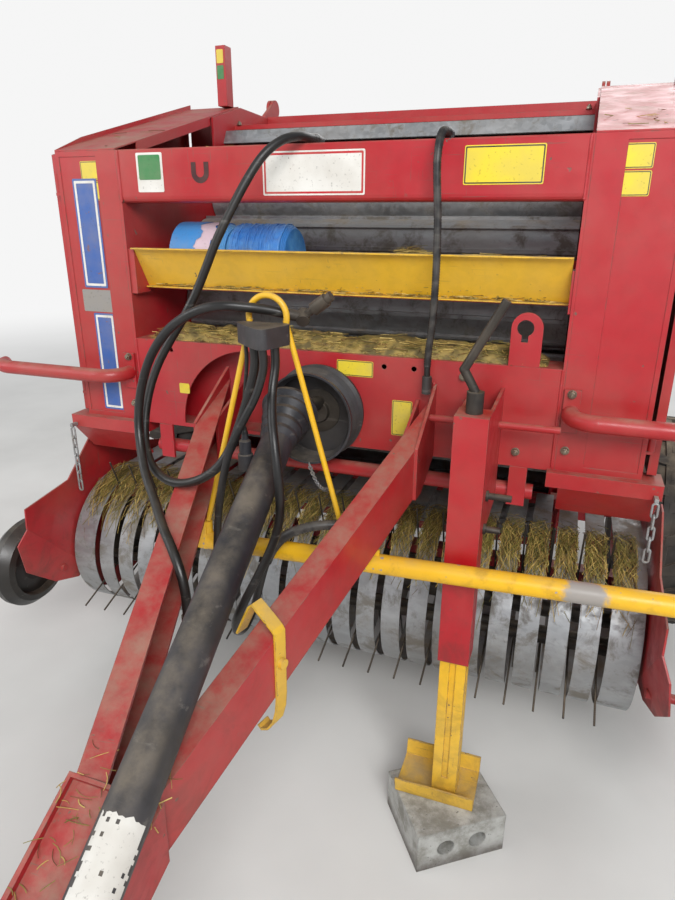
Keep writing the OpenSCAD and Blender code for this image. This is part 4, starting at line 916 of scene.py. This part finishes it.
# Crop left on the machine
STRAW_LOOKS = ["straw_pale", "straw_green", "straw_brown"]
FRAME_MIX, BAND_MIX = (5, 3, 2), (4, 5, 2)
SHORT, LONG = (0.015, 0.05), (0.03, 0.10)
# Patches, as (low corner, high corner, dropped from, count, heap, lengths, least upward normal)
STRAW_PATCHES = [
    ((-0.58, 0.01), (0.58, 0.16), 1.40, 2600, 0.006, SHORT, 0.3),
    ((-0.14, 0.075), (0.57, 0.245), 1.60, 2200, 0.006, LONG, 0.3),
    ((-0.10, -1.30), (0.14, -0.95), 0.95, 160, 0.003, SHORT, 0.5),
    ((-0.80, 0.02), (0.80, 0.28), 1.95, 60, 0.0, SHORT, 0.5),
]


def add_straw(shape, rng, place, turn, length, width):
    """One bent stalk that lies on a surface."""
    along = Vector((math.cos(turn), math.sin(turn), 0.0))
    across = Vector((-along.y, along.x, 0.0))
    bend, lift = rng.uniform(-0.16, 0.16) * length, rng.uniform(0.0, 0.10) * length
    line = []
    for k in range(5):
        t = k / 4 - 0.5
        line.append(place + along * (t * length) + across * (bend * (0.25 - t * t) * 4)
                    + Vector((0, 0, lift * (0.5 + t) + width)))
    shape.tube(line, [width * 0.5] * 5, 3, rng.choices((0, 1, 2), FRAME_MIX)[0])


def strew(shape, rng, skin, low, high, from_z, count, heap, lengths, slope):
    """Stalks dropped over a patch of the machine, heaped a little in its middle."""
    half = min(high[0] - low[0], high[1] - low[1]) / 2
    for _ in range(count):
        x, y = rng.uniform(low[0], high[0]), rng.uniform(low[1], high[1])
        place, normal = seat(at(x, y, from_z), DOWN, 1.2, skin)
        if place is None or normal.z < slope:
            continue
        inside = min(x - low[0], high[0] - x, y - low[1], high[1] - y) / half
        place.z += heap * rng.random() * min(1.0, 2 * max(0.0, inside))
        add_straw(shape, rng, place, rng.uniform(0, math.tau), rng.uniform(*lengths),
                  rng.uniform(0.0009, 0.0021))


BAND_PITCH = 0.0765
BAND_COUNT = 23
REEL_AT = (0.150, 0.480)
BAND_R = 0.240
SLOT_CLEAR = 0.034
MIDDLE_STALKS, SIDE_STALKS = 330, 420


def make_band_straw():
    """Stalks over the stripper bands, kept out of the slots where the tines pass."""
    rng, shape = random.Random(21), Shape()
    for k in range(BAND_COUNT):
        middle = (k - (BAND_COUNT - 1) / 2) * BAND_PITCH
        for _ in range(SIDE_STALKS if abs(middle) > 0.30 else MIDDLE_STALKS):
            turn = math.radians(rng.gauss(78, 17))
            out = BAND_R + 0.002 + 0.030 * rng.random() ** 2
            x = middle + rng.uniform(-0.027, 0.027)
            place = at(x, REEL_AT[0] - out * math.cos(turn), REEL_AT[1] + out * math.sin(turn))
            lean = Vector((0, math.sin(turn), math.cos(turn)))
            outward = Vector((0, -math.cos(turn), math.sin(turn)))
            length, width = rng.uniform(0.02, 0.085), rng.uniform(0.0009, 0.002)
            room = (SLOT_CLEAR - abs(x - middle)) * 2 / length
            skew = rng.uniform(-min(0.9, room), min(0.9, room))
            line = []
            for i in range(4):
                t = i / 3 - 0.5
                bow = (t * length) ** 2 / (2 * out)
                aside = Vector((t * length * skew, 0, 0))
                line.append(place + lean * (t * length) + aside - outward * bow)
            shape.tube(line, [width * 0.5] * 4, 3, rng.choices((0, 1, 2), BAND_MIX)[0])
    shape.make("band_straw", "pickup", STRAW_LOOKS)


# Heaps of crop, as (low corner, high corner, height above the base, base, seed)
BEAM_HEAP = ((-0.585, 0.012), (0.585, 0.135), 0.050, 1.246, 1)
TRAY_HEAP = ((-0.14, 0.073), (0.57, 0.246), 0.122, 1.394, 2)


def heap_shape(low, high, height, base, seed):
    """A low mound with an uneven top, which the loose stalks lie on."""
    shape, columns, rows = Shape(), 90, 16
    points = []
    for k in range(rows + 1):
        for i in range(columns + 1):
            u, v = i / columns, k / rows
            x, y = low[0] + (high[0] - low[0]) * u, low[1] + (high[1] - low[1]) * v
            edge = min(1.0, 14 * u, 14 * (1 - u)) * min(1.0, 3.0 * v, 5 * (1 - v))
            rough = noise.fractal(Vector((x * 9, y * 9, seed * 7.0)), 0.8, 2.0, 4)
            points.append(at(x, y, base + height * max(0.0, edge) ** 0.6 * (0.72 + 0.30 * rough)))
    faces = [grid_face(columns + 1, k, i) for k in range(rows) for i in range(columns)]
    shape.add(points, faces)
    return shape


def make_frame_straw():
    rng, shape = random.Random(8), Shape()
    heaps = [heap.make("crop_heap_" + name, "frame", ["hay"], sharp=180) for name, heap in
             (("beam", heap_shape(*BEAM_HEAP)), ("tray", heap_shape(*TRAY_HEAP)))]
    still = skin_of([name for name in FIXED if name != "twine_balls"], heaps)
    for patch in STRAW_PATCHES:
        strew(shape, rng, still, *patch)
    shape.make("frame_straw", "frame", STRAW_LOOKS)


make_band_straw()
make_frame_straw()


# Twine wound on the balls, with what is left of the first one's wrap
BALL_STARTS = (-0.525, -0.335)
BALL_AT = (0.150, 1.4843)
BALL_R = 0.090
BALL_WOUND = (0.013, 0.172)
TWINE_R = 0.0016
# Windings, as (pitch, height above the ball, first turn): a close layer and three that cross it
WINDINGS = [
    (0.0036, 0.0006, 0.0),
    (0.021, 0.0022, 0.0),
    (-0.027, 0.0030, 2.1),
    (0.034, 0.0038, 4.2),
]
# Wraps of the first ball, as (right edge from the ball's start, height above the ball)
WRAPS = [(0.150, 0.0056), (0.098, 0.0070)]


def on_ball(x, out, turn):
    return at(x, BALL_AT[0] + out * math.cos(turn), BALL_AT[1] + out * math.sin(turn))


def wind(shape, start, pitch, out, phase):
    """Twine round a ball from one end to the other, backwards where the pitch is negative."""
    steps = 20
    low, high = BALL_WOUND
    count = round((high - low) / abs(pitch) * steps)
    line = []
    for k in range(count + 1):
        share = k / count if pitch > 0 else 1 - k / count
        x = start + low + (high - low) * share
        line.append(on_ball(x, BALL_R + out, phase + math.tau * k / steps))
    shape.tube(line, [TWINE_R] * len(line), 5)


def ball_wrap(shape, rng, low_x, high_x, out, look):
    """A film round a ball, ragged at its right edge."""
    turns, rows = 60, 8
    edge = [high_x + 0.012 * math.sin(k * 0.9) + 0.010 * rng.random() for k in range(turns)]
    points = [on_ball(low_x + (edge[k] - low_x) * i / rows, BALL_R + out + 0.0006 * rng.random(),
                      math.tau * k / turns)
              for i in range(rows + 1) for k in range(turns)]
    faces = []
    for i in range(rows):
        for k in range(turns):
            after = (k + 1) % turns
            faces.append((i * turns + k, i * turns + after,
                          (i + 1) * turns + after, (i + 1) * turns + k))
    shape.add(points, faces, look)


def make_twine():
    rng = random.Random(4)
    wound = Shape()
    for start in BALL_STARTS:
        for winding in WINDINGS:
            wind(wound, start, *winding)
    wound.make("wound_twine", "frame", ["twine_bright"])
    wraps, start = Shape(), BALL_STARTS[0]
    for look, (edge, out) in enumerate(WRAPS):
        ball_wrap(wraps, rng, start + BALL_WOUND[0], start + edge, out, look)
    wraps.make("ball_wraps", "frame", ["wrap", "wrap_blue"])


make_twine()


# Floor and light
FLOOR_HALF = 60
FLOOR_FADE = (3.0, 11.0)
AMBIENT = 0.44
BACKGROUND = 0.92
# Lamps, as (name, place, aim, size, watts)
LAMPS = [
    ("key", (2.6, -5.2, 4.6), (0, 0, 0.9), (3.4, 2.6), 390),
    ("fill", (-4.8, -3.0, 3.4), (0, 0, 0.9), (4.0, 3.0), 120),
    ("back", (0.5, 5.5, 4.8), (0, 0.3, 1.0), (5.0, 3.0), 160),
]


def make_floor():
    """A pale floor that brightens with distance, with no dark edge against the background."""
    mesh, half = bpy.data.meshes.new("floor"), FLOOR_HALF
    corners = [(-half, -half, 0), (half, -half, 0), (half, half, 0), (-half, half, 0)]
    mesh.from_pydata(corners, [], [(0, 1, 2, 3)])
    floor = bpy.data.objects.new("floor", mesh)
    bpy.context.scene.collection.objects.link(floor)
    n = Nodes("pale_floor")
    tone = n.mix(n.ramp(n.noise(1.2, 4), 0.3, 0.7), rgb(205, 204, 201), rgb(216, 215, 212))
    away = n.add("ShaderNodeVectorMath", operation="LENGTH")
    n.link(n.place, away.inputs[0])
    n.shader.inputs["Emission Color"].default_value = (BACKGROUND, BACKGROUND, BACKGROUND, 1)
    n.shader.inputs["Specular IOR Level"].default_value = 0.0
    far = n.ramp(away.outputs["Value"], *FLOOR_FADE)
    n.put(n.shader.inputs["Emission Strength"], far)
    mesh.materials.append(n.finish(n.mix(far, tone, (0.0, 0.0, 0.0, 1.0)), 0.95))


def make_world():
    """A plain background for the camera, and a dimmer one that lights the scene."""
    world = bpy.data.worlds.new("world")
    bpy.context.scene.world = world
    world.use_nodes = True
    tree = world.node_tree
    ambient = tree.nodes["Background"]
    ambient.inputs["Color"].default_value = (0.94, 0.97, 1.0, 1)
    ambient.inputs["Strength"].default_value = AMBIENT
    seen = tree.nodes.new("ShaderNodeBackground")
    seen.inputs["Color"].default_value = (BACKGROUND, BACKGROUND, BACKGROUND, 1)
    path = tree.nodes.new("ShaderNodeLightPath")
    choose = tree.nodes.new("ShaderNodeMixShader")
    shown = tree.nodes.new("ShaderNodeMath")
    shown.operation = "MAXIMUM"
    tree.links.new(path.outputs["Is Camera Ray"], shown.inputs[0])
    tree.links.new(path.outputs["Is Transmission Ray"], shown.inputs[1])
    tree.links.new(shown.outputs[0], choose.inputs["Fac"])
    tree.links.new(ambient.outputs[0], choose.inputs[1])
    tree.links.new(seen.outputs[0], choose.inputs[2])
    tree.links.new(choose.outputs[0], tree.nodes["World Output"].inputs["Surface"])


def make_lamp(name, place, aim, size, watts):
    data = bpy.data.lights.new(name, "AREA")
    data.shape = "RECTANGLE"
    data.size, data.size_y = size
    data.energy = watts
    lamp = bpy.data.objects.new(name, data)
    lamp.location = place
    lamp.rotation_euler = (Vector(aim) - Vector(place)).to_track_quat("-Z", "Y").to_euler()
    bpy.context.scene.collection.objects.link(lamp)


make_floor()
make_world()
for lamp in LAMPS:
    make_lamp(*lamp)

bpy.context.scene.view_settings.view_transform = "Standard"
